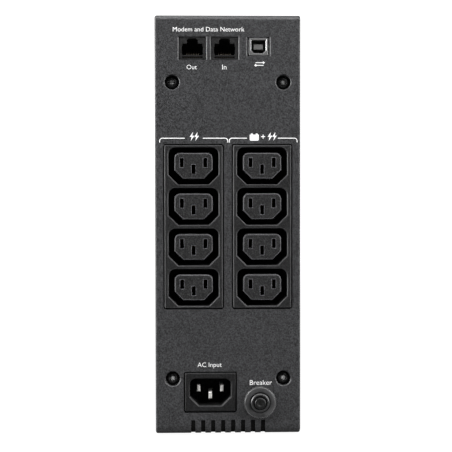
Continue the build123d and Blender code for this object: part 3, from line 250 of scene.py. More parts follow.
@dataclass(frozen=True)
class MouldedPlastic:
    """Moulded plastic with a spark-eroded grain, faint mottling, edges lightened partly as rubbed wear and
    partly as painted highlight, bright glint spots painted into the colour, and painted shade inside
    mouths.
    """

    name: str
    colour: Colour
    roughness: float = 0.55
    grain_mm: float = 0.9
    grain_depth_mm: float = 0.035
    speckle: float = 0.2
    lit_edge_lift: float = 1.35
    edge_mm: float = 0.25
    specular: float = 0.5
    fine_mm: float = 0.25
    mouth_y: float | None = None
    # Share of the colour left deep inside a mouth: painted shade.
    mouth_shade: float = 0.25
    glint: float = 0.0

    def material(self) -> Material:
        """Build the finish."""
        bench = Bench(self.name)
        place = bench.place()
        grain = bench.noise(place, self.grain_mm, 4.0, 0.75)
        cloud = bench.noise(place, 38.0, 3.0, 0.5)
        dust = bench.noise(place, 2.2, 6.0, 0.7)
        fine = bench.noise(place, self.fine_mm, 2.0, 0.6)
        tint = bench.spread(grain, max(0.0, 1.0 - self.speckle), 1.0 + self.speckle, 0.36, 0.64)
        mottle = bench.spread(cloud, 0.95, 1.05, 0.3, 0.7)
        level = bench.combine("MULTIPLY", tint, mottle)
        # Painted shade: the colour darkens over the first millimetres inside a mouth, where shade falls.
        if self.mouth_y is not None:
            level = bench.combine("MULTIPLY", level, bench.below(self.mouth_y, 1.0, self.mouth_shade))
        base = bench.node("ShaderNodeVectorMath", operation="SCALE")
        base.inputs[0].default_value = self.colour
        bench.wire(level, base.inputs["Scale"])
        base = base.outputs[0]
        if self.glint:
            spots = bench.spread(bench.noise(place, self.grain_mm * 0.75, 3.0, 0.7), 0.0, 1.0, 0.48, 0.85)
            if self.mouth_y is not None:
                spots = bench.combine("MULTIPLY", spots, bench.below(self.mouth_y, 1.0, 0.0))
            base = bench.blend(spots, base, (self.glint, self.glint, self.glint))
        # Edges lightened: partly rubbed wear, partly a painted highlight where chamfers and rims catch the
        # light.
        edges = bench.edge_mask(self.edge_mm)
        worn_and_lit_edges = bench.combine("MULTIPLY", edges, bench.spread(dust, 0.55, 1.0, 0.4, 0.65))
        bench.feed("Base Color", bench.blend(worn_and_lit_edges, base, shade(self.colour, self.lit_edge_lift)))
        gloss = bench.spread(dust, self.roughness - 0.06, self.roughness + 0.08, 0.3, 0.7)
        if self.mouth_y is not None:
            gloss = bench.combine("ADD", gloss, bench.below(self.mouth_y, 0.0, 0.45))
        bench.feed("Roughness", gloss)
        coarse = bench.bump(grain, 0.9, self.grain_depth_mm)
        bench.feed("Normal", bench.bump(fine, 0.8, self.grain_depth_mm * 0.3, coarse))
        bench.set(Specular_IOR_Level=self.specular)
        return bench.material


class Brushing(Enum):
    """The way a metal's fine scratches run."""

    NONE = (1.0, 1.0, 1.0)
    ALONG_Y = (1.0, 0.04, 1.0)
    ALONG_Z = (1.0, 1.0, 0.04)


@dataclass(frozen=True)
class Metal:
    """A metal surface with fine scratches, stains, and edges lightened partly as wear and partly as painted
    highlight.
    """

    name: str
    colour: Colour
    roughness: float = 0.35
    brushing: Brushing = Brushing.NONE
    scratch_mm: float = 0.3
    tarnish: float = 0.25
    metallic: float = 1.0
    worn_and_lit_edge: float = 0.0
    chip_and_highlight_at: Point3 | None = None

    def material(self) -> Material:
        """Build the finish."""
        bench = Bench(self.name)
        place = bench.place(self.brushing.value)
        scratches = bench.noise(place, self.scratch_mm, 3.0, 0.6)
        stains = bench.noise(bench.place(), 9.0, 5.0, 0.6)
        dull = bench.spread(stains, 0.0, self.tarnish, 0.42, 0.7)
        tone = bench.blend(dull, self.colour, shade(self.colour, 0.45))
        # Edges lightened: partly bare worn metal, partly a painted highlight.
        if self.worn_and_lit_edge:
            bare_and_lit = (self.worn_and_lit_edge, self.worn_and_lit_edge, self.worn_and_lit_edge)
            tone = bench.blend(bench.edge_mask(0.16), tone, bare_and_lit)
        # A bright patch at each screw's centre: partly chipped finish, partly a painted highlight.
        if self.chip_and_highlight_at is not None:
            tone = bench.blend(bench.near_axes(*self.chip_and_highlight_at), tone, (0.9, 0.9, 0.9))
        bench.feed("Base Color", tone)
        varied = bench.combine(
            "ADD",
            bench.spread(scratches, self.roughness - 0.08, self.roughness + 0.1, 0.3, 0.7),
            bench.spread(stains, 0.0, 0.12, 0.45, 0.7),
        )
        bench.feed("Roughness", varied)
        bench.feed("Normal", bench.bump(scratches, 0.5, 0.012))
        bench.set(Metallic=self.metallic)
        return bench.material


@dataclass(frozen=True)
class Galvanised:
    """Zinc-coated sheet with its spangle."""

    name: str = "galvanised_sheet"
    colour: Colour = (0.5, 0.51, 0.53)

    def material(self) -> Material:
        """Build the finish."""
        bench = Bench(self.name)
        cells = bench.node("ShaderNodeTexVoronoi")
        cells.inputs["Scale"].default_value = 1.0 / (7.0 * MM)
        cells.inputs["Randomness"].default_value = 1.0
        bench.wire(bench.place(), cells.inputs["Vector"])
        tone = bench.node("ShaderNodeSeparateColor")
        bench.wire(cells.outputs["Color"], tone.inputs["Color"])
        bench.feed("Base Color", bench.blend(tone.outputs["Red"], shade(self.colour, 0.75), self.colour))
        bench.feed("Roughness", bench.spread(tone.outputs["Green"], 0.32, 0.55))
        fine = bench.noise(bench.place(), 0.8, 4.0, 0.6)
        bench.feed("Normal", bench.bump(fine, 0.25, 0.02))
        bench.set(Metallic=0.95)
        return bench.material


@dataclass(frozen=True)
class ClearPlastic:
    """Frosted clear plastic, faintly tinted and cloudy inside."""

    name: str
    colour: Colour
    glow: float = 0.0

    def material(self) -> Material:
        """Build the finish."""
        bench = Bench(self.name)
        cloud = bench.noise(bench.place(), 1.5, 4.0, 0.6)
        bench.feed("Base Color", bench.blend(cloud, self.colour, shade(self.colour, 0.8)))
        bench.feed("Roughness", bench.spread(cloud, 0.25, 0.4, 0.3, 0.7))
        bench.feed("Normal", bench.bump(cloud, 0.2, 0.02))
        bench.set(
            Transmission_Weight=0.35,
            IOR=1.49,
            Emission_Color=rgba(self.colour),
            Emission_Strength=self.glow,
        )
        return bench.material


@dataclass(frozen=True)
class Rubber:
    """Matt rubber with a chalky bloom."""

    name: str = "foot_rubber"
    colour: Colour = (0.018, 0.018, 0.018)
    chalk: Colour = (0.06, 0.06, 0.058)
    specular: float = 0.4
    grain_mm: float = 0.35
    grain_depth_mm: float = 0.04

    def material(self) -> Material:
        """Build the finish."""
        bench = Bench(self.name)
        place = bench.place()
        bloom = bench.spread(bench.noise(place, 4.0, 6.0, 0.65), 0.0, 0.5, 0.45, 0.75)
        bench.feed("Base Color", bench.blend(bloom, self.colour, self.chalk))
        bench.feed("Roughness", bench.spread(bloom, 0.7, 0.92))
        grain = bench.noise(place, self.grain_mm, 4.0, 0.6)
        bench.feed("Normal", bench.bump(grain, 0.6, self.grain_depth_mm))
        bench.set(Specular_IOR_Level=self.specular)
        return bench.material


@dataclass(frozen=True)
class Webbing:
    """Woven webbing: a fine twill of warp and weft."""

    name: str = "strap_webbing"
    colour: Colour = (0.03, 0.03, 0.032)
    thread_mm: float = 0.8

    def material(self) -> Material:
        """Build the finish."""
        bench = Bench(self.name)
        heights = []
        for direction in ("X", "Z"):
            wave = bench.node("ShaderNodeTexWave", bands_direction=direction)
            wave.inputs["Scale"].default_value = 0.314 / (self.thread_mm * MM)
            wave.inputs["Distortion"].default_value = 0.6
            bench.wire(bench.place(), wave.inputs["Vector"])
            heights.append(wave.outputs["Fac"])
        weave = bench.combine("MULTIPLY", heights[0], heights[1])
        bench.feed("Base Color", bench.blend(weave, shade(self.colour, 0.5), shade(self.colour, 2.2)))
        bench.feed("Normal", bench.bump(weave, 0.9, 0.15))
        bench.set(Roughness=0.85, Sheen_Weight=0.3)
        return bench.material


@dataclass(frozen=True)
class CircuitBoard:
    """A lacquered circuit board with tracks under the green mask."""

    name: str = "circuit_board"
    mask: Colour = (0.012, 0.09, 0.035)
    track: Colour = (0.03, 0.2, 0.07)

    def material(self) -> Material:
        """Build the finish."""
        bench = Bench(self.name)
        tracks = bench.node("ShaderNodeTexVoronoi", distance="MANHATTAN", feature="F2")
        tracks.inputs["Scale"].default_value = 1.0 / (9.0 * MM)
        tracks.inputs["Randomness"].default_value = 0.7
        bench.wire(bench.place(), tracks.inputs["Vector"])
        bands = bench.combine("PINGPONG", tracks.outputs["Distance"], 0.12)
        lines = bench.spread(bands, 0.0, 1.0, 0.045, 0.06)
        bench.feed("Base Color", bench.blend(lines, self.mask, self.track))
        bench.feed("Roughness", bench.spread(lines, 0.3, 0.42))
        bench.feed("Normal", bench.bump(lines, 0.5, 0.03))
        bench.set(Coat_Weight=0.4, Coat_Roughness=0.15)
        return bench.material


@dataclass(frozen=True)
class Banded:
    """A surface made of fine parallel layers, such as laminations or a winding."""

    name: str
    colour: Colour
    gap_colour: Colour
    pitch_mm: float
    direction: str
    metallic: float = 0.9
    roughness: float = 0.4

    def material(self) -> Material:
        """Build the finish."""
        bench = Bench(self.name)
        wave = bench.node("ShaderNodeTexWave", bands_direction=self.direction)
        wave.inputs["Scale"].default_value = 0.314 / (self.pitch_mm * MM)
        wave.inputs["Distortion"].default_value = 0.25
        bench.wire(bench.place(), wave.inputs["Vector"])
        stain = bench.noise(bench.place(), 6.0, 5.0, 0.6)
        lines = bench.spread(wave.outputs["Fac"], 0.0, 1.0, 0.15, 0.6)
        toned = bench.blend(bench.spread(stain, 0.0, 0.5, 0.4, 0.7), self.colour, shade(self.colour, 0.55))
        bench.feed("Base Color", bench.blend(lines, self.gap_colour, toned))
        bench.feed("Roughness", bench.spread(stain, self.roughness - 0.08, self.roughness + 0.15, 0.3, 0.7))
        bench.feed("Normal", bench.bump(wave.outputs["Fac"], 0.8, self.pitch_mm * 0.25))
        bench.set(Metallic=self.metallic)
        return bench.material


@dataclass(frozen=True)
class PrintedInk:
    """Pad-printed ink, thin and slightly worn through by the grain under it."""

    name: str = "legend_ink"
    colour: Colour = (0.85, 0.85, 0.85)

    def material(self) -> Material:
        """Build the finish."""
        bench = Bench(self.name)
        grain = bench.noise(bench.place(), 0.5, 4.0, 0.65)
        thin = bench.spread(grain, 0.25, 0.0, 0.3, 0.5)
        bench.feed("Base Color", bench.blend(thin, self.colour, shade(self.colour, 0.5)))
        bench.feed("Normal", bench.bump(grain, 0.6, 0.02))
        bench.set(Roughness=0.6)
        return bench.material


class Finishes:
    """Every finish of the cabinet, made once and looked up by name."""

    def __init__(self) -> None:
        """Build the finishes."""
        strip_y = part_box("outlet_housing_left")[0].y
        jack_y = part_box("network_jack_out")[0].y
        makers = (
            MouldedPlastic("panel_plastic", (0.0238, 0.024, 0.0255), 0.42, 0.82, 0.18, 1.1, 2.0, 0.3, 0.42),
            MouldedPlastic("shell_plastic", (0.0245, 0.0248, 0.026), 0.44, 1.0, 0.1, 0.8, 1.4, 0.3, 0.42),
            MouldedPlastic("bezel_plastic", (0.02, 0.02, 0.021), 0.46, 0.6, 0.04, 0.2),
            MouldedPlastic("window_plastic", (0.004, 0.004, 0.0045), 0.12, 1.4, 0.004, 0.05, 1.0),
            MouldedPlastic(
                "socket_plastic", (0.0042, 0.0042, 0.0045), 0.42, 0.8, 0.15, 1.4, 18.0, 0.6, 0.32,
                mouth_y=strip_y, glint=0.045,
            ),
            MouldedPlastic(
                "nose_plastic", (0.0036, 0.0036, 0.0039), 0.42, 0.9, 0.17, 1.8, 75.0, 0.5, 0.34,
                mouth_y=strip_y, glint=0.08,
            ),
            MouldedPlastic(
                "inlet_plastic", (0.008, 0.008, 0.0083), 0.42, 0.7, 0.15, 1.2, 1.3, 0.2, 0.2,
                mouth_y=strip_y,
            ),
            MouldedPlastic(
                "jack_plastic", (0.014, 0.014, 0.0142), 0.4, 0.7, 0.05, 0.8, 1.8, 0.2, 0.3,
                mouth_y=jack_y, mouth_shade=0.08,
            ),
            MouldedPlastic("collar_plastic", (0.02, 0.02, 0.0205), 0.36, 0.6, 0.02, 0.3, 2.6, 0.2),
            MouldedPlastic("button_plastic", (0.003, 0.003, 0.003), 0.3, 0.6, 0.02, 0.1, 2.0, 0.2, 0.3),
            MouldedPlastic("tongue_plastic", (0.12, 0.12, 0.12), 0.45, 0.5, 0.012, 0.1, 1.1),
            MouldedPlastic("inner_plastic", (0.03, 0.03, 0.031), 0.45, 0.6, 0.015, 0.08),
            MouldedPlastic("epoxy_black", (0.014, 0.014, 0.014), 0.35, 0.4, 0.01, 0.08),
            MouldedPlastic("can_sleeve", (0.012, 0.02, 0.09), 0.2, 2.0, 0.008, 0.05),
            MouldedPlastic("relay_case", (0.02, 0.09, 0.26), 0.28, 0.8, 0.01, 0.06),
            MouldedPlastic("ferrite", (0.05, 0.22, 0.08), 0.4, 0.5, 0.03, 0.12),
            MouldedPlastic("disc_blue", (0.015, 0.1, 0.4), 0.3, 0.8, 0.02, 0.06),
            MouldedPlastic("bobbin_nylon", (0.55, 0.5, 0.38), 0.45, 0.8, 0.02, 0.05, 1.05),
            MouldedPlastic("slip_strip", (0.7, 0.7, 0.66), 0.35, 0.8, 0.01, 0.04, 1.02),
            MouldedPlastic("wire_red", (0.42, 0.012, 0.01), 0.32, 0.9, 0.012, 0.06, 1.1),
            MouldedPlastic("wire_black", (0.014, 0.014, 0.014), 0.32, 0.9, 0.012, 0.06, 1.4),
            MouldedPlastic("battery_abs", (0.055, 0.06, 0.064), 0.5, 0.8, 0.04, 0.1),
            MouldedPlastic("battery_lid", (0.04, 0.042, 0.046), 0.42, 0.8, 0.03, 0.08),
            MouldedPlastic("connector_grey", (0.16, 0.16, 0.17), 0.42, 0.6, 0.015, 0.06),
            Metal(
                "black_screw", (0.012, 0.012, 0.0125), 0.2, tarnish=0.4, metallic=0.6, worn_and_lit_edge=0.3,
                chip_and_highlight_at=SCREW_AXES,
            ),
            Metal("plated_pin", (0.6, 0.59, 0.57), 0.36, Brushing.ALONG_Y, metallic=0.55),
            Metal("nut_steel", (0.12, 0.12, 0.122), 0.5, scratch_mm=0.7, tarnish=0.95, worn_and_lit_edge=0.5),
            Metal("port_steel", (0.2, 0.2, 0.202), 0.34, tarnish=0.1, metallic=0.7, worn_and_lit_edge=0.85),
            # Brass darkened far below its own colour, partly as tarnish and partly as painted shade deep in
            # the outlet slots.
            Metal("brass", (0.06, 0.045, 0.025), 0.5, Brushing.ALONG_Z, tarnish=0.6),
            # Gold darkened far below its own colour, partly as tarnish and partly as painted shade inside
            # the jacks and port.
            Metal("gold", (0.05, 0.044, 0.036), 0.4, tarnish=0.6),
            Metal("tin_steel", (0.42, 0.42, 0.415), 0.3, Brushing.ALONG_Y),
            Metal("sink_aluminium", (0.58, 0.59, 0.6), 0.38, Brushing.ALONG_Y),
            Metal("lead", (0.22, 0.22, 0.24), 0.6),
            Galvanised(),
            ClearPlastic("ring_clear", (0.5, 0.75, 0.62), 0.15),
            ClearPlastic("light_clear", (0.6, 0.85, 0.7), 0.1),
            Rubber(),
            # Near-black plugs that stand in for shade in the vent slots.
            Rubber("vent_slot_shade", (0.002, 0.002, 0.002), (0.006, 0.006, 0.006), 0.1, 0.6, 0.4),
            Webbing(),
            CircuitBoard(),
            Banded("laminations", (0.2, 0.2, 0.21), (0.03, 0.03, 0.03), 0.5, "X"),
            Banded("winding", (0.62, 0.25, 0.08), (0.12, 0.03, 0.01), 1.4, "Y", 0.85, 0.3),
            PrintedInk(),
        )
        self._made = {maker.name: maker.material() for maker in makers}

    def __getitem__(self, name: str) -> Material:
        """The finish with this name."""
        return self._made[name]

    def dress(self, **finish_of: str) -> None:
        """Give nodes of the frame their finishes, as node="finish"."""
        for node, name in finish_of.items():
            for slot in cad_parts[node].material_slots:
                slot.material = self._made[name]


# ------------------------------------------------------------------ meshes
def settled(holder: Piece) -> Form:
    """The evaluated shape of an object as a bmesh; the object is removed."""
    bpy.context.view_layer.update()
    graph = bpy.context.evaluated_depsgraph_get()
    mesh = bpy.data.meshes.new_from_object(holder.evaluated_get(graph), depsgraph=graph)
    holder.modifiers.clear()
    bpy.data.objects.remove(holder)
    form = bmesh.new()
    form.from_mesh(mesh)
    bpy.data.meshes.remove(mesh)
    return form


def mesh_piece(name: str, form: Form, material: Material) -> Piece:
    """Turn a bmesh into a piece at the origin, with its faces outwards.

    Args:
        name: the piece's name.
        form: the bmesh, which is freed.
        material: its finish.

    Returns:
        The new object, linked to the scene.
    """
    bmesh.ops.remove_doubles(form, verts=form.verts, dist=1e-7)
    bmesh.ops.recalc_face_normals(form, faces=form.faces)
    mesh = bpy.data.meshes.new(name)
    form.to_mesh(mesh)
    form.free()
    piece = bpy.data.objects.new(name, mesh)
    bpy.context.scene.collection.objects.link(piece)
    mesh.materials.append(material)
    return piece


def fasten(piece: Piece, body: str, slot: str, *stands_for: str) -> None:
    """Let a piece ride on a body, and hide the nodes it stands for."""
    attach(piece, body)
    if stands_for:
        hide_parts(*stands_for)
    LOG.info("%s rides on %s", piece.name, body)


def prism(form: Form, outline: Sequence[Point2], y_front: float, y_back: float) -> None:
    """Add a closed flat prism, drawn as (X, Z), to a bmesh."""
    front = [form.verts.new((x, y_front, z)) for x, z in outline]
    back = [form.verts.new((x, y_back, z)) for x, z in outline]
    form.faces.new(front)
    form.faces.new(list(reversed(back)))
    for i in range(len(outline)):
        j = (i + 1) % len(outline)
        form.faces.new((front[i], back[i], back[j], front[j]))


def stroke(points: Sequence[Point2], width: float) -> list[Point2]:
    """The outline of a line of even width through some points."""
    left, right = [], []
    for i, point in enumerate(points):
        before = Vector(points[max(i - 1, 0)])
        after = Vector(points[min(i + 1, len(points) - 1)])
        along = (after - before).normalized()
        across = Vector((-along.y, along.x)) * width / 2
        left.append(tuple(Vector(point) + across))
        right.append(tuple(Vector(point) - across))
    return left + right[::-1]


def arc(centre: Point2, radius: float, start: float, end: float, steps: int = 8) -> list[Point2]:
    """Points along an arc, with its angles in degrees."""
    angles = [math.radians(start + (end - start) * i / steps) for i in range(steps + 1)]
    return [(centre[0] + radius * math.cos(a), centre[1] + radius * math.sin(a)) for a in angles]


# ------------------------------------------------------------------ geometry nodes
class Grower:
    """Builds one Geometry Nodes tree with named inputs, runs it, and keeps the plain result."""

    def __init__(self, name: str) -> None:
        """Start a tree with a geometry output."""
        self.name = name
        self.tree = bpy.data.node_groups.new(name, "GeometryNodeTree")
        self.tree.interface.new_socket("Geometry", in_out="OUTPUT", socket_type="NodeSocketGeometry")
        self.values: dict[str, object] = {}
        self.source = self.tree.nodes.new("NodeGroupInput")
        self.sink = self.tree.nodes.new("NodeGroupOutput")

    def take(self, name: str, value: float | int) -> Socket:
        """Add a named input with its value, and return the socket that carries it."""
        kind = "NodeSocketInt" if isinstance(value, int) else "NodeSocketFloat"
        socket = self.tree.interface.new_socket(name, in_out="INPUT", socket_type=kind)
        self.values[socket.identifier] = value
        return next(s for s in self.source.outputs if s.identifier == socket.identifier)

    def node(
        self, kind: str, settings: dict[str, object] | None = None, **inputs: object
    ) -> bpy.types.Node:
        """Add a node, set its attributes, and fill its inputs by name.

        Args:
            kind: the node's type name.
            settings: attributes to set.
            inputs: a socket to join or a value to set, with underscores for spaces.

        Returns:
            The new node.
        """
        made = self.tree.nodes.new(kind)
        for key, value in (settings or {}).items():
            setattr(made, key, value)
        for key, value in inputs.items():
            name = key.replace("_", " ")
            target = next(s for s in made.inputs if s.name == name and s.enabled)
            for part in value if isinstance(value, list) else [value]:
                if isinstance(part, Socket):
                    self.tree.links.new(part, target)
                else:
                    target.default_value = part
        return made

    def maths(self, operation: str, first: object, second: object = 0.0) -> Socket:
        """One arithmetic step."""
        made = self.tree.nodes.new("ShaderNodeMath")
        made.operation = operation
        for socket, value in ((made.inputs[0], first), (made.inputs[1], second)):
            if isinstance(value, Socket):
                self.tree.links.new(value, socket)
            else:
                socket.default_value = value
        return made.outputs[0]

    def vector(self, x: object, y: object, z: object) -> Socket:
        """A vector from three numbers or sockets."""
        return self.node("ShaderNodeCombineXYZ", X=x, Y=y, Z=z).outputs[0]

    def join(self, *parts: Socket) -> Socket:
        """Join geometry."""
        return self.node("GeometryNodeJoinGeometry", Geometry=list(parts)).outputs[0]

    def move(
        self, geometry: Socket, place: object, turn: Sequence[float] = (0.0, 0.0, 0.0)
    ) -> Socket:
        """Turn geometry about the origin, in degrees, and then move it."""
        angles = tuple(math.radians(angle) for angle in turn)
        made = self.node("GeometryNodeTransform", Geometry=geometry, Translation=place, Rotation=angles)
        return made.outputs[0]

    def repeat(
        self, points: Socket, piece: Socket, turn: object = None
    ) -> Socket:
        """Put a piece on every point, turned by a rotation socket if one is given."""
        extra = {} if turn is None else {"Rotation": turn}
        return self.node("GeometryNodeInstanceOnPoints", Points=points, Instance=piece, **extra).outputs[0]

    def row(self, step: object, count: object, whole: int) -> Socket:
        """Points along X, centred on the origin, where whole is the count as a number."""
        return self.node(
            "GeometryNodeMeshLine",
            Count=count,
            Start_Location=self.vector(self.maths("MULTIPLY", step, -0.5 * (whole - 1)), 0.0, 0.0),
            Offset=self.vector(step, 0.0, 0.0),
        ).outputs[0]

    def sweep(
        self, path: Socket, profile: Socket, caps: bool = True
    ) -> Socket:
        """Draw a profile along a path."""
        made = self.node("GeometryNodeCurveToMesh", Curve=path, Profile_Curve=profile, Fill_Caps=caps)
        return made.outputs[0]

    def ring(self, radius: object, steps: object) -> Socket:
        """A round curve of given radius and number of points."""
        return self.node("GeometryNodeCurvePrimitiveCircle", Radius=radius, Resolution=steps).outputs[0]

    def softened_slab(self, width: object, height: object, corner: object) -> Socket:
        """A rectangle curve with cut corners."""
        slab = self.node("GeometryNodeCurvePrimitiveQuadrilateral", Width=width, Height=height).outputs[0]
        cut = self.node("GeometryNodeFilletCurve", {"mode": "POLY"}, Curve=slab, Count=2, Radius=corner)
        return cut.outputs[0]

    def grow(self, geometry: Socket, material: Material) -> Piece:
        """Finish the tree, run it on an empty mesh, and return the result as a plain mesh piece.

        Args:
            geometry: what the tree has made.
            material: the finish of the result.

        Returns:
            The finished piece, with no modifier left on it.
        """
        real = self.node("GeometryNodeRealizeInstances", Geometry=geometry)
        dressed = self.node("GeometryNodeSetMaterial", Geometry=real.outputs[0], Material=material)
        self.tree.links.new(dressed.outputs[0], self.sink.inputs[0])
        seed = bpy.data.objects.new(self.name + "_seed", bpy.data.meshes.new(self.name + "_seed"))
        bpy.context.scene.collection.objects.link(seed)
        modifier = seed.modifiers.new(self.name, "NODES")
        modifier.node_group = self.tree
        for identifier, value in self.values.items():
            modifier[identifier] = value
        return mesh_piece(self.name, settled(seed), material)


# ------------------------------------------------------------------ sub-assemblies
@dataclass
class Cabinet:
    """The moulded outside: panel, shells, bezel, door and feet."""

    finishes: Finishes

    def dress(self) -> None:
        """Give the mouldings their finishes."""
        self.finishes.dress(
            rear_panel="panel_plastic",
            left_shell="shell_plastic",
            right_shell="shell_plastic",
            front_bezel="bezel_plastic",
            battery_door="bezel_plastic",
            rubber_feet="foot_rubber",
            display_window="window_plastic",
            power_button="bezel_plastic",
            button_ring="ring_clear",
            status_light_pipes="light_clear",
        )


@dataclass
class Sockets:
    """The outlets, the inlet and the data sockets."""

    finishes: Finishes

    def dress(self) -> None:
        """Give the sockets their finishes."""
        self.finishes.dress(
            outlet_housing_left="socket_plastic",
            outlet_housing_right="socket_plastic",
            outlet_cores_left="nose_plastic",
            outlet_cores_right="nose_plastic",
            outlet_contacts="brass",
            inlet_body="inlet_plastic",
            inlet_pins="plated_pin",
            network_jack_out="jack_plastic",
            network_jack_in="jack_plastic",
            usb_shell="port_steel",
            usb_insulator="tongue_plastic",
            comm_board="circuit_board",
            surge_arrestors="disc_blue",
        )


@dataclass
class Breaker:
    """The resettable breaker and its knurled ring nut."""

    finishes: Finishes
    teeth: int = 64
    tooth: float = 0.6 * MM
    bevel: float = 0.55 * MM
    bushing: float = 5.6 * MM
    thread_gap: float = 0.4 * MM
    steps: int = 96

    def nut(self) -> Piece:
        """The ring nut, with a tooth at every step round its rim."""
        low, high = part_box("breaker_nut")
        centre = (low + high) / 2
        grower = Grower("knurled_nut")
        rim = grower.take("Rim radius", (high.x - low.x) / 2 - self.tooth * 0.55)
        bore = grower.take("Bore radius", self.bushing + self.thread_gap)
        thick = grower.take("Thickness", high.y - low.y)
        count = grower.take("Tooth count", self.teeth)
        tooth = grower.take("Tooth size", self.tooth)
        bevel = grower.take("Bevel", self.bevel)
        middle = grower.maths("MULTIPLY", grower.maths("ADD", rim, bore), 0.5)
        slab = grower.softened_slab(grower.maths("SUBTRACT", rim, bore), thick, bevel)
        body = grower.sweep(grower.ring(middle, self.steps), slab, False)
        short = grower.maths("SUBTRACT", thick, grower.maths("MULTIPLY", bevel, 1.6))
        peg = grower.node("GeometryNodeMeshCylinder", Vertices=4, Radius=tooth, Depth=short).outputs[0]
        edge = grower.ring(rim, count)
        points = grower.node("GeometryNodeCurveToPoints", {"mode": "EVALUATED"}, Curve=edge)
        index = grower.node("GeometryNodeInputIndex").outputs[0]
        angle = grower.maths("MULTIPLY", grower.maths("DIVIDE", index, count), math.tau)
        teeth = grower.repeat(points.outputs[0], peg, grower.vector(0.0, 0.0, angle))
        whole = grower.move(grower.join(body, teeth), tuple(centre), (90.0, 0.0, 0.0))
        return grower.grow(whole, self.finishes["nut_steel"])

    def build(self) -> None:
        """Make the nut and give the other pieces their finishes."""
        self.finishes.dress(
            breaker_case="collar_plastic",
            breaker_button="button_plastic",
            breaker_terminals="tin_steel",
        )
        fasten(self.nut(), "case", "nut_steel", "breaker_nut")


@dataclass
class Screws:
    """The four pan-head screws of the rear panel."""

    finishes: Finishes
    head_radius: float = 3.9 * MM
    head_height: float = 2.4 * MM
    shank_radius: float = 1.55 * MM
    shank_length: float = 22.0 * MM
    pitch: float = 1.4 * MM
    recess: tuple[float, float, float] = (4.4 * MM, 0.95 * MM, 2.2 * MM)

    def build(self) -> None:
        """Make one screw, stand it in each well, and turn each a little differently."""
        low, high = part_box("rear_screws")
        centre = (low + high) / 2
        grower = Grower("panel_screws")
        radius = grower.take("Head radius", self.head_radius)
        height = grower.take("Head height", self.head_height)
        shank = grower.take("Shank radius", self.shank_radius)
        length = grower.take("Shank length", self.shank_length)
        pitch = grower.take("Thread pitch", self.pitch)
        seed = grower.take("Seed", 7)
        ball = grower.node("GeometryNodeMeshUVSphere", Segments=40, Rings=22, Radius=radius).outputs[0]
        place = grower.node("GeometryNodeInputPosition").outputs[0]
        parts = grower.node("ShaderNodeSeparateXYZ", Vector=place).outputs
        flat = grower.vector(parts[0], parts[1], 0.0)
        reach = grower.node("ShaderNodeVectorMath", {"operation": "LENGTH"}, Vector=flat).outputs["Value"]
        share = grower.maths("MINIMUM", grower.maths("DIVIDE", reach, radius), 1.0)
        drop = grower.maths("SUBTRACT", 1.0, grower.maths("POWER", share, 3.2))
        dome = grower.maths("MULTIPLY", grower.maths("POWER", drop, 0.42), height)
        level = grower.maths("MULTIPLY", dome, grower.maths("GREATER_THAN", parts[2], 0.0))
        head = grower.node(
            "GeometryNodeSetPosition", Geometry=ball, Position=grower.vector(parts[0], parts[1], level)
        ).outputs[0]
        bars = [
            grower.move(
                grower.node("GeometryNodeMeshCube", Size=self.recess).outputs[0],
                (0.0, 0.0, self.head_height),
                (0.0, 0.0, turn),
            )
            for turn in (0.0, 90.0)
        ]
        cut = grower.node(
            "GeometryNodeMeshBoolean",
            {"operation": "DIFFERENCE", "solver": "EXACT"},
            Mesh_1=head,
            Mesh_2=bars,
        ).outputs[0]
        rod = grower.node("GeometryNodeMeshCylinder", Vertices=20, Radius=shank, Depth=length).outputs[0]
        half = grower.maths("MULTIPLY", length, -0.5)
        rod = grower.move(rod, grower.vector(0.0, 0.0, half))
        turns = grower.maths("DIVIDE", grower.maths("MULTIPLY", length, 0.85), pitch)
        helix = grower.node(
            "GeometryNodeCurveSpiral",
            Resolution=14,
            Rotations=turns,
            Start_Radius=shank,
            End_Radius=shank,
            Height=grower.maths("MULTIPLY", length, -0.85),
        ).outputs[0]
        thread = grower.move(
            grower.sweep(helix, grower.ring(grower.maths("MULTIPLY", pitch, 0.24), 3)),
            grower.vector(0.0, 0.0, grower.maths("MULTIPLY", length, -0.1)),
        )
        screw = grower.join(cut, rod, thread)
        corners = grower.node(
            "GeometryNodeMeshGrid",
            Size_X=high.x - low.x - 2 * self.head_radius,
            Size_Y=high.z - low.z - 2 * self.head_radius,
            Vertices_X=2,
            Vertices_Y=2,
        ).outputs[0]
        chance = grower.node(
            "FunctionNodeRandomValue", {"data_type": "FLOAT"}, Min=-0.5, Max=0.5, Seed=seed
        )
        angle = next(socket for socket in chance.outputs if socket.enabled)
        standing = grower.repeat(corners, screw, grower.vector(0.0, 0.0, angle))
        seat = low.y + self.head_height
        whole = grower.move(standing, (centre.x, seat, centre.z), (90.0, 0.0, 0.0))
        piece = grower.grow(whole, self.finishes["black_screw"])
        fasten(piece, "case", "black_screw", "rear_screws")


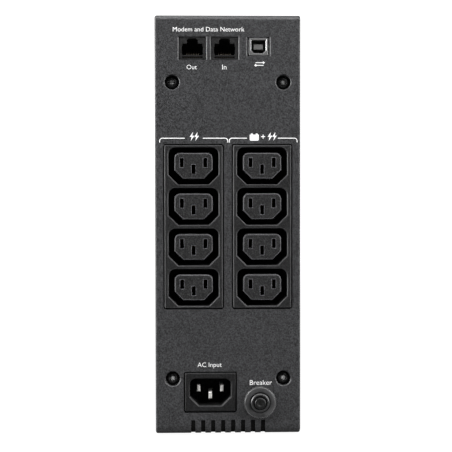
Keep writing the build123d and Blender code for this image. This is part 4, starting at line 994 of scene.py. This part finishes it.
@dataclass
class Springs:
    """The contact springs of the network jacks, with their tails, and the data port's strips."""

    finishes: Finishes
    ways: int = 8
    pitch: float = 1.02 * MM
    wire: float = 0.21 * MM
    tail_pitch: float = 1.27 * MM
    tail_depth: float = 0.62 * MM
    tail_drop: float = 5.4 * MM
    strip_depth: float = 6.6 * MM
    tongue_height: float = 5.3 * MM

    def build(self) -> None:
        """Bend one spring, set eight in each jack, and lay the strips on the tongue."""
        grower = Grower("jack_springs")
        ways = grower.take("Ways", self.ways)
        pitch = grower.take("Pitch", self.pitch)
        wire = grower.take("Wire radius", self.wire)
        tail_pitch = grower.take("Tail pitch", self.tail_pitch)
        spring = grower.node(
            "GeometryNodeCurvePrimitiveBezierSegment",
            Resolution=10,
            Start=(0.0, 1.6 * MM, -4.0 * MM),
            Start_Handle=(0.0, 0.9 * MM, -3.3 * MM),
            End_Handle=(0.0, 5.0 * MM, -1.9 * MM),
            End=(0.0, 9.4 * MM, -1.1 * MM),
        ).outputs[0]
        bent = grower.sweep(spring, grower.ring(wire, 8))
        tail = grower.node("GeometryNodeMeshCube", Size=(0.55 * MM, 0.7 * MM, 0.7 * MM)).outputs[0]
        sets = []
        for node in ("network_jack_out", "network_jack_in"):
            low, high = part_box(node)
            middle = (low + high) / 2
            for piece, step, depth, height in (
                (bent, pitch, 0.0, 0.0),
                (tail, tail_pitch, self.tail_depth, -self.tail_drop),
            ):
                row = grower.repeat(grower.row(step, ways, self.ways), piece)
                sets.append(grower.move(row, (middle.x, low.y + depth, middle.z + height)))
        low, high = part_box("usb_shell")
        strip = grower.node("GeometryNodeMeshCube", Size=(1.0 * MM, 8.4 * MM, 0.2 * MM)).outputs[0]
        grid = grower.node(
            "GeometryNodeMeshGrid", Size_X=2.5 * MM, Size_Y=3.3 * MM, Vertices_X=2, Vertices_Y=2
        ).outputs[0]
        grid = grower.move(grid, (0.0, 0.0, 0.0), (90.0, 0.0, 0.0))
        port = ((low.x + high.x) / 2, low.y + self.strip_depth, low.z + self.tongue_height)
        sets.append(grower.move(grower.repeat(grid, strip), port))
        piece = grower.grow(grower.join(*sets), self.finishes["gold"])
        fasten(piece, "case", "gold", "data_contacts")


@dataclass
class VentSlotShade:
    """Near-black plugs behind the slots in the panel's lower edge, one in each slot, standing in for the
    shade inside the slots.
    """

    finishes: Finishes
    slots: int = 8
    pitch: float = 6.0 * MM
    width: float = 2.5 * MM
    sunk: float = 0.45 * MM
    bend: float = 4.8 * MM
    back: float = 6.9 * MM
    top: float = 8.5 * MM

    def build(self) -> None:
        """Cut one plug to the panel's bend and repeat it along the slots."""
        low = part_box("rear_panel")[0]
        grower = Grower("vent_slot_shade")
        width = grower.take("Plug width", self.width)
        count = grower.take("Slots", self.slots)
        pitch = grower.take("Pitch", self.pitch)
        bend = self.bend
        corners = [(self.sunk, self.top)] + arc((bend, bend), bend - self.sunk, 180.0, 270.0, 4)
        corners += [(self.back, self.sunk), (self.back, self.top)]
        points = [grower.vector(0.0, y, z) for y, z in corners]
        runs = [
            grower.node("GeometryNodeCurvePrimitiveLine", Start=start, End=end).outputs[0]
            for start, end in zip(points, points[1:] + points[:1])
        ]
        wires = grower.node("GeometryNodeCurveToMesh", Curve=grower.join(*runs)).outputs[0]
        closed = grower.node("GeometryNodeMergeByDistance", Geometry=wires, Distance=0.01 * MM).outputs[0]
        outline = grower.node("GeometryNodeMeshToCurve", Mesh=closed).outputs[0]
        flat = self.lay(grower, outline, False)
        face = grower.node("GeometryNodeFillCurve", {"mode": "NGONS"}, Curve=flat).outputs[0]
        face = self.lay(grower, face, True)
        slab = grower.node(
            "GeometryNodeExtrudeMesh",
            Mesh=face,
            Offset=grower.vector(1.0, 0.0, 0.0),
            Offset_Scale=width,
            Individual=False,
        ).outputs[0]
        plug = grower.join(slab, grower.node("GeometryNodeFlipFaces", Mesh=face).outputs[0])
        line = grower.row(pitch, count, self.slots)
        whole = grower.move(grower.repeat(line, plug), (-self.width / 2, low.y, low.z))
        piece = grower.grow(whole, self.finishes["vent_slot_shade"])
        fasten(piece, "case", "foot_rubber")

    def lay(self, grower: Grower, geometry: Socket, stand: bool) -> Socket:
        """Lay the outline flat so that it can be filled, or stand it up again."""
        angles = (math.pi / 2, 0.0, math.pi / 2)
        if stand:
            return grower.node("GeometryNodeTransform", Geometry=geometry, Rotation=angles).outputs[0]
        for angles in ((0.0, 0.0, -math.pi / 2), (-math.pi / 2, 0.0, 0.0)):
            geometry = grower.node("GeometryNodeTransform", Geometry=geometry, Rotation=angles).outputs[0]
        return geometry


@dataclass
class Grips:
    """Soft inlays in the finger grooves of the battery door."""

    finishes: Finishes
    grooves: int = 6
    step: float = 5.0 * MM
    crown: float = 300.0 * MM
    reach: float = 29.4 * MM
    width: float = 1.6 * MM
    proud: float = 0.35 * MM
    below_top: float = 9.0 * MM

    def build(self) -> None:
        """Bend one inlay to the door's crown and repeat it down the door."""
        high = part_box("battery_door")[1]
        grower = Grower("door_grips")
        crown = grower.take("Crown radius", self.crown - self.proud)
        width = grower.take("Inlay width", self.width)
        count = grower.take("Inlays", self.grooves)
        step = grower.take("Step", self.step)
        sweep = 2 * math.asin(self.reach / self.crown)
        arc_curve = grower.node(
            "GeometryNodeCurveArc",
            {"mode": "RADIUS"},
            Resolution=24,
            Radius=crown,
            Start_Angle=math.pi / 2 - sweep / 2,
            Sweep_Angle=sweep,
        ).outputs[0]
        profile = grower.softened_slab(width, width, grower.maths("MULTIPLY", width, 0.3))
        inlay = grower.sweep(arc_curve, profile)
        line = grower.node(
            "GeometryNodeMeshLine",
            Count=count,
            Offset=grower.vector(0.0, 0.0, grower.maths("MULTIPLY", step, -1.0)),
        ).outputs[0]
        place = (0.0, high.y - self.crown, high.z - self.below_top)
        whole = grower.move(grower.repeat(line, inlay), place)
        piece = grower.grow(whole, self.finishes["foot_rubber"])
        fasten(piece, "battery_door", "foot_rubber")


@dataclass
class Interior:
    """Everything behind the mouldings."""

    finishes: Finishes

    def dress(self) -> None:
        """Give the inner pieces their finishes."""
        self.finishes.dress(
            power_switch="inner_plastic",
            front_board="circuit_board",
            buzzer="inner_plastic",
            chassis_base="galvanised_sheet",
            glide_rails="slip_strip",
            rear_bulkhead="galvanised_sheet",
            shelf_plate="galvanised_sheet",
            transformer_core="laminations",
            transformer_coil="winding",
            transformer_bobbin="bobbin_nylon",
            transformer_frame="galvanised_sheet",
            main_board="circuit_board",
            board_standoffs="tin_steel",
            inner_screws="tin_steel",
            heatsinks="sink_aluminium",
            power_transistors="epoxy_black",
            bulk_capacitors="can_sleeve",
            relays="relay_case",
            filter_choke="ferrite",
            mains_wiring="wire_black",
            battery_socket="connector_grey",
            tray_pan="galvanised_sheet",
            battery_cases="battery_abs",
            battery_lids="battery_lid",
            battery_plates="lead",
            battery_terminals="tin_steel",
            battery_plug="connector_grey",
            plug_blades="tin_steel",
            battery_wiring="wire_red",
            pull_strap="strap_webbing",
            strap_rivets="tin_steel",
        )


@dataclass
class Legends:
    """The printing on the rear panel: generic words, brackets and pictograms."""

    finishes: Finishes
    thickness: float = 0.03 * MM
    line_width: float = 0.46 * MM
    face_gap: float = 0.2 * MM
    text_depth: float = 0.01
    capital: float = 0.7
    bracket_level: float = 178.8
    bracket_drop: float = 2.6
    bracket_radius: float = 1.7
    words: tuple[tuple[str, str, float, float, float], ...] = (
        ("heading", "Modem and Data Network", -11.3, 243.5, 42.5),
        ("out", "Out", -21.4, 221.1, 6.0),
        ("in", "In", -2.0, 221.1, 2.5),
        ("inlet", "AC Input", -11.1, 43.1, 14.5),
        ("breaker", "Breaker", 19.7, 32.2, 13.3),
    )

    def face(self) -> float:
        """Y of the panel's outer face."""
        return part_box("outlet_housing_left")[0].y + self.face_gap

    def word(self, name: str, text: str, x: float, z: float, width: float) -> Piece:
        """One word or line, set to a given width and centred on its place.

        Args:
            name: the end of the piece's name.
            text: what it says.
            x: its centre, in millimetres.
            z: the middle of its capitals, in millimetres.
            width: its whole width, in millimetres.

        Returns:
            The finished piece.
        """
        curve = bpy.data.curves.new("legend_" + name, "FONT")
        curve.body = text
        curve.size = 1.0
        curve.extrude = self.text_depth
        curve.resolution_u = 4
        curve.offset = -0.006
        curve.align_x = "CENTER"
        holder = bpy.data.objects.new("legend_" + name, curve)
        bpy.context.scene.collection.objects.link(holder)
        form = settled(holder)
        xs = [v.co.x for v in form.verts]
        middle = (min(xs) + max(xs)) / 2
        scale = width * MM / (max(xs) - min(xs))
        y = self.face()
        for vert in form.verts:
            flat_x = x * MM + (vert.co.x - middle) * scale
            flat_y = y - (vert.co.z + self.text_depth) / (2 * self.text_depth) * self.thickness
            flat_z = z * MM + (vert.co.y - self.capital / 2) * scale
            vert.co = Vector((flat_x, flat_y, flat_z))
        return mesh_piece("legend_" + name, form, self.finishes["legend_ink"])

    def stamp(self, form: Form, outline: Sequence[Point2], layers: float = 1.0) -> None:
        """Print one closed shape on the panel, in metres, some layers of ink thick."""
        prism(form, outline, self.face() - self.thickness * layers, self.face())

    def bracket(self, form: Form, x0: float, x1: float, turn: tuple[bool, bool]) -> None:
        """One half of a bracket: a level line that turns down at one or both ends."""
        level, drop, radius = self.bracket_level, self.bracket_drop, self.bracket_radius
        points: list[Point2] = []
        if turn[0]:
            points.append((x0, level - drop))
            points += arc((x0 + radius, level - radius), radius, 180, 90)
        else:
            points.append((x0, level))
        if turn[1]:
            points += arc((x1 - radius, level - radius), radius, 90, 0)
            points.append((x1, level - drop))
        else:
            points.append((x1, level))
        self.stamp(form, stroke([(px * MM, pz * MM) for px, pz in points], self.line_width))

    def bolt(self, form: Form, x: float, z: float, height: float) -> None:
        """One lightning bolt."""
        shape = ((0.18, 1.0), (-0.55, -0.12), (-0.08, -0.02), (-0.3, -1.0), (0.52, 0.2), (0.05, 0.12))
        self.stamp(form, [((x + px * height / 2) * MM, (z + pz * height / 2) * MM) for px, pz in shape])

    def bar(self, form: Form, x0: float, x1: float, z0: float, z1: float) -> None:
        """One printed rectangle, in millimetres."""
        self.stamp(form, [(x * MM, z * MM) for x, z in ((x0, z0), (x1, z0), (x1, z1), (x0, z1))])

    def brackets(self) -> Piece:
        """The two brackets over the outlet strips."""
        form = bmesh.new()
        self.bracket(form, -40.6, -25.7, (True, False))
        self.bracket(form, -14.9, 0.0, (False, True))
        self.bracket(form, 0.9, 11.4, (True, False))
        self.bracket(form, 29.9, 41.4, (False, True))
        return mesh_piece("legend_brackets", form, self.finishes["legend_ink"])

    def pictograms(self) -> Piece:
        """Bolts for surge protection, a battery for backup, and two arrows for data."""
        form = bmesh.new()
        for x in (-19.9, 26.6):
            self.bolt(form, x - 1.35, 179.8, 5.3)
            self.bolt(form, x + 1.35, 179.8, 5.3)
        x, z = 15.8, 179.6
        for x0, x1, z0, z1 in (
            (-2.7, 2.7, -1.9, 1.3),
            (-2.0, -0.9, 1.3, 1.95),
            (0.9, 2.0, 1.3, 1.95),
            (-2.4, 2.4, -2.3, -1.9),
        ):
            self.bar(form, x + x0, x + x1, z + z0, z + z1)
        self.bar(form, 19.9, 22.3, 179.45, 179.95)
        self.bar(form, 20.85, 21.35, 178.5, 179.45)
        self.bar(form, 20.85, 21.35, 179.95, 180.9)
        for side, z_line in ((1, 223.7), (-1, 222.1)):
            self.bar(form, 19.0 - 2.4, 19.0 + 2.4, z_line - 0.2, z_line + 0.2)
            tip = 19.0 + side * 3.2
            root = 19.0 + side * 2.0
            corners = ((tip, z_line), (root, z_line + 0.9), (root, z_line - 0.9))
            outline = [(px * MM, pz * MM) for px, pz in corners]
            self.stamp(form, outline, 1.05)
        return mesh_piece("legend_pictograms", form, self.finishes["legend_ink"])

    def build(self) -> None:
        """Print everything on the panel."""
        pieces = [self.word(*entry) for entry in self.words]
        pieces += [self.brackets(), self.pictograms()]
        for piece in pieces:
            fasten(piece, "case", "panel_plastic")


# ------------------------------------------------------------------ studio
@dataclass(frozen=True)
class SoftBox:
    """One rectangular soft light."""

    name: str
    place: Point3
    target: Point3
    width: float
    height: float
    power: float

    def hang(self) -> None:
        """Add the light to the scene."""
        lamp = bpy.data.lights.new("soft_" + self.name, "AREA")
        lamp.shape = "RECTANGLE"
        lamp.size = self.width
        lamp.size_y = self.height
        lamp.energy = self.power
        holder = bpy.data.objects.new("soft_" + self.name, lamp)
        bpy.context.scene.collection.objects.link(holder)
        holder.location = self.place
        aim = Vector(self.target) - Vector(self.place)
        holder.rotation_euler = aim.to_track_quat("-Z", "Y").to_euler()


@dataclass
class Studio:
    """The floor, the surroundings, the soft lights and the camera.

    The camera sees floor and surroundings as white. What lights the object is a grey floor and a dim
    sky, because white ones fill the lower edge with too much light.
    """

    floor_colour: Colour = (0.2, 0.2, 0.2)
    floor_reach: float = 9.0
    floor_glow: float = 0.75
    white_strength: float = 1.3
    sky_light: float = 0.07
    camera_place: Point3 = (-0.019, -0.835, 0.155)
    lens: float = 86.68
    yaw_deg: float = 1.575
    pitch_deg: float = 1.78
    roll_deg: float = -0.089
    shift_y: float = -0.0312
    lights: tuple[SoftBox, ...] = (
        SoftBox("key", (0.75, -0.85, 1.1), (0.0, -0.18, 0.2), 0.6, 0.6, 9.0),
        SoftBox("front", (1.0, -1.75, 1.0), (0.0, -0.18, 0.13), 0.8, 0.8, 2.6),
        SoftBox("top", (0.0, -0.55, 0.95), (0.0, -0.17, 0.24), 0.9, 0.35, 8.5),
        SoftBox("left", (-0.8, -0.34, 0.25), (0.0, -0.17, 0.13), 0.25, 1.0, 20.0),
        SoftBox("right", (0.8, -0.34, 0.25), (0.0, -0.17, 0.13), 0.25, 1.0, 13.0),
        SoftBox("back", (-0.5, 0.6, 1.8), (0.0, 0.1, 0.12), 1.0, 1.0, 16.0),
    )

    def glow_to_eye(
        self, tree: bpy.types.NodeTree, lighting: Socket, share: float | Socket
    ) -> bpy.types.Node:
        """Mix plain white over a surface for what is seen of it, and leave what it lights alone.

        Args:
            tree: the material's or world's tree.
            lighting: the shader that lights the scene.
            share: how much of the white is seen.

        Returns:
            The mixing node.
        """
        mix = tree.nodes.new("ShaderNodeMixShader")
        path = tree.nodes.new("ShaderNodeLightPath")
        amount = tree.nodes.new("ShaderNodeMath")
        amount.operation = "MULTIPLY"
        is_sky = lighting.node.type == "BACKGROUND"
        white = tree.nodes.new("ShaderNodeBackground" if is_sky else "ShaderNodeEmission")
        white.inputs["Strength"].default_value = self.white_strength
        white.inputs["Color"].default_value = (1.0, 1.0, 1.0, 1.0)
        if isinstance(share, Socket):
            tree.links.new(share, amount.inputs[1])
        else:
            amount.inputs[1].default_value = share
        tree.links.new(path.outputs["Is Camera Ray"], amount.inputs[0])
        tree.links.new(amount.outputs[0], mix.inputs[0])
        tree.links.new(lighting, mix.inputs[1])
        tree.links.new(white.outputs[0], mix.inputs[2])
        return mix

    def floor(self) -> None:
        """Lay the wide pale floor."""
        form = bmesh.new()
        corners = [
            form.verts.new((x * self.floor_reach, y * self.floor_reach, 0.0))
            for x, y in ((-1, -1), (1, -1), (1, 1), (-1, 1))
        ]
        form.faces.new(corners)
        bench = Bench("studio_floor")
        cloud = bench.noise(bench.place(), 400.0, 2.0, 0.5)
        level = bench.spread(cloud, 0.0, 1.0)
        bench.feed("Base Color", bench.blend(level, self.floor_colour, shade(self.floor_colour, 0.98)))
        bench.set(Roughness=0.8)
        reach = bench.node("ShaderNodeVectorMath", operation="LENGTH")
        bench.wire(bench.place(), reach.inputs[0])
        share = bench.spread(reach.outputs["Value"], self.floor_glow, 1.0, 0.35, 1.3)
        mix = self.glow_to_eye(bench.tree, bench.shader.outputs[0], share)
        bench.wire(mix.outputs[0], bench.tree.nodes["Material Output"].inputs["Surface"])
        mesh = bpy.data.meshes.new("studio_floor")
        form.to_mesh(mesh)
        form.free()
        floor = bpy.data.objects.new("studio_floor", mesh)
        bpy.context.scene.collection.objects.link(floor)
        mesh.materials.append(bench.material)

    def light(self) -> None:
        """Hang the soft boxes and set the pale surroundings."""
        for box in self.lights:
            box.hang()
        world = bpy.data.worlds.new("studio")
        world.use_nodes = True
        sky = world.node_tree.nodes["Background"]
        sky.inputs["Color"].default_value = (1.0, 1.0, 1.0, 1.0)
        sky.inputs["Strength"].default_value = self.sky_light
        mix = self.glow_to_eye(world.node_tree, sky.outputs[0], 1.0)
        world.node_tree.links.new(mix.outputs[0], world.node_tree.nodes["World Output"].inputs["Surface"])
        bpy.context.scene.world = world
        bpy.context.scene.view_settings.view_transform = "Standard"

    def camera(self) -> None:
        """Stand the camera in front of the connection side."""
        lens = bpy.data.cameras.new("camera")
        lens.lens = self.lens
        lens.shift_y = self.shift_y
        lens.clip_start = 0.01
        view = bpy.data.objects.new("camera", lens)
        bpy.context.scene.collection.objects.link(view)
        turn = (
            Matrix.Rotation(math.radians(-self.yaw_deg), 4, "Z")
            @ Matrix.Rotation(math.radians(90.0 - self.pitch_deg), 4, "X")
            @ Matrix.Rotation(math.radians(self.roll_deg), 4, "Z")
        )
        view.matrix_world = Matrix.Translation(self.camera_place) @ turn
        bpy.context.scene.camera = view

    def build(self) -> None:
        """Set up the studio."""
        self.floor()
        self.light()
        self.camera()


def main() -> None:
    """Build every class in order."""
    logging.basicConfig(level=logging.INFO, format="%(name)s: %(message)s")
    finishes = Finishes()
    Studio().build()
    for part in (Cabinet(finishes), Sockets(finishes), Interior(finishes)):
        part.dress()
        LOG.info("dressed %s", type(part).__name__)
    for maker in (Breaker, Screws, Springs, VentSlotShade, Grips, Legends):
        maker(finishes).build()


if __name__ == "__main__":
    main()
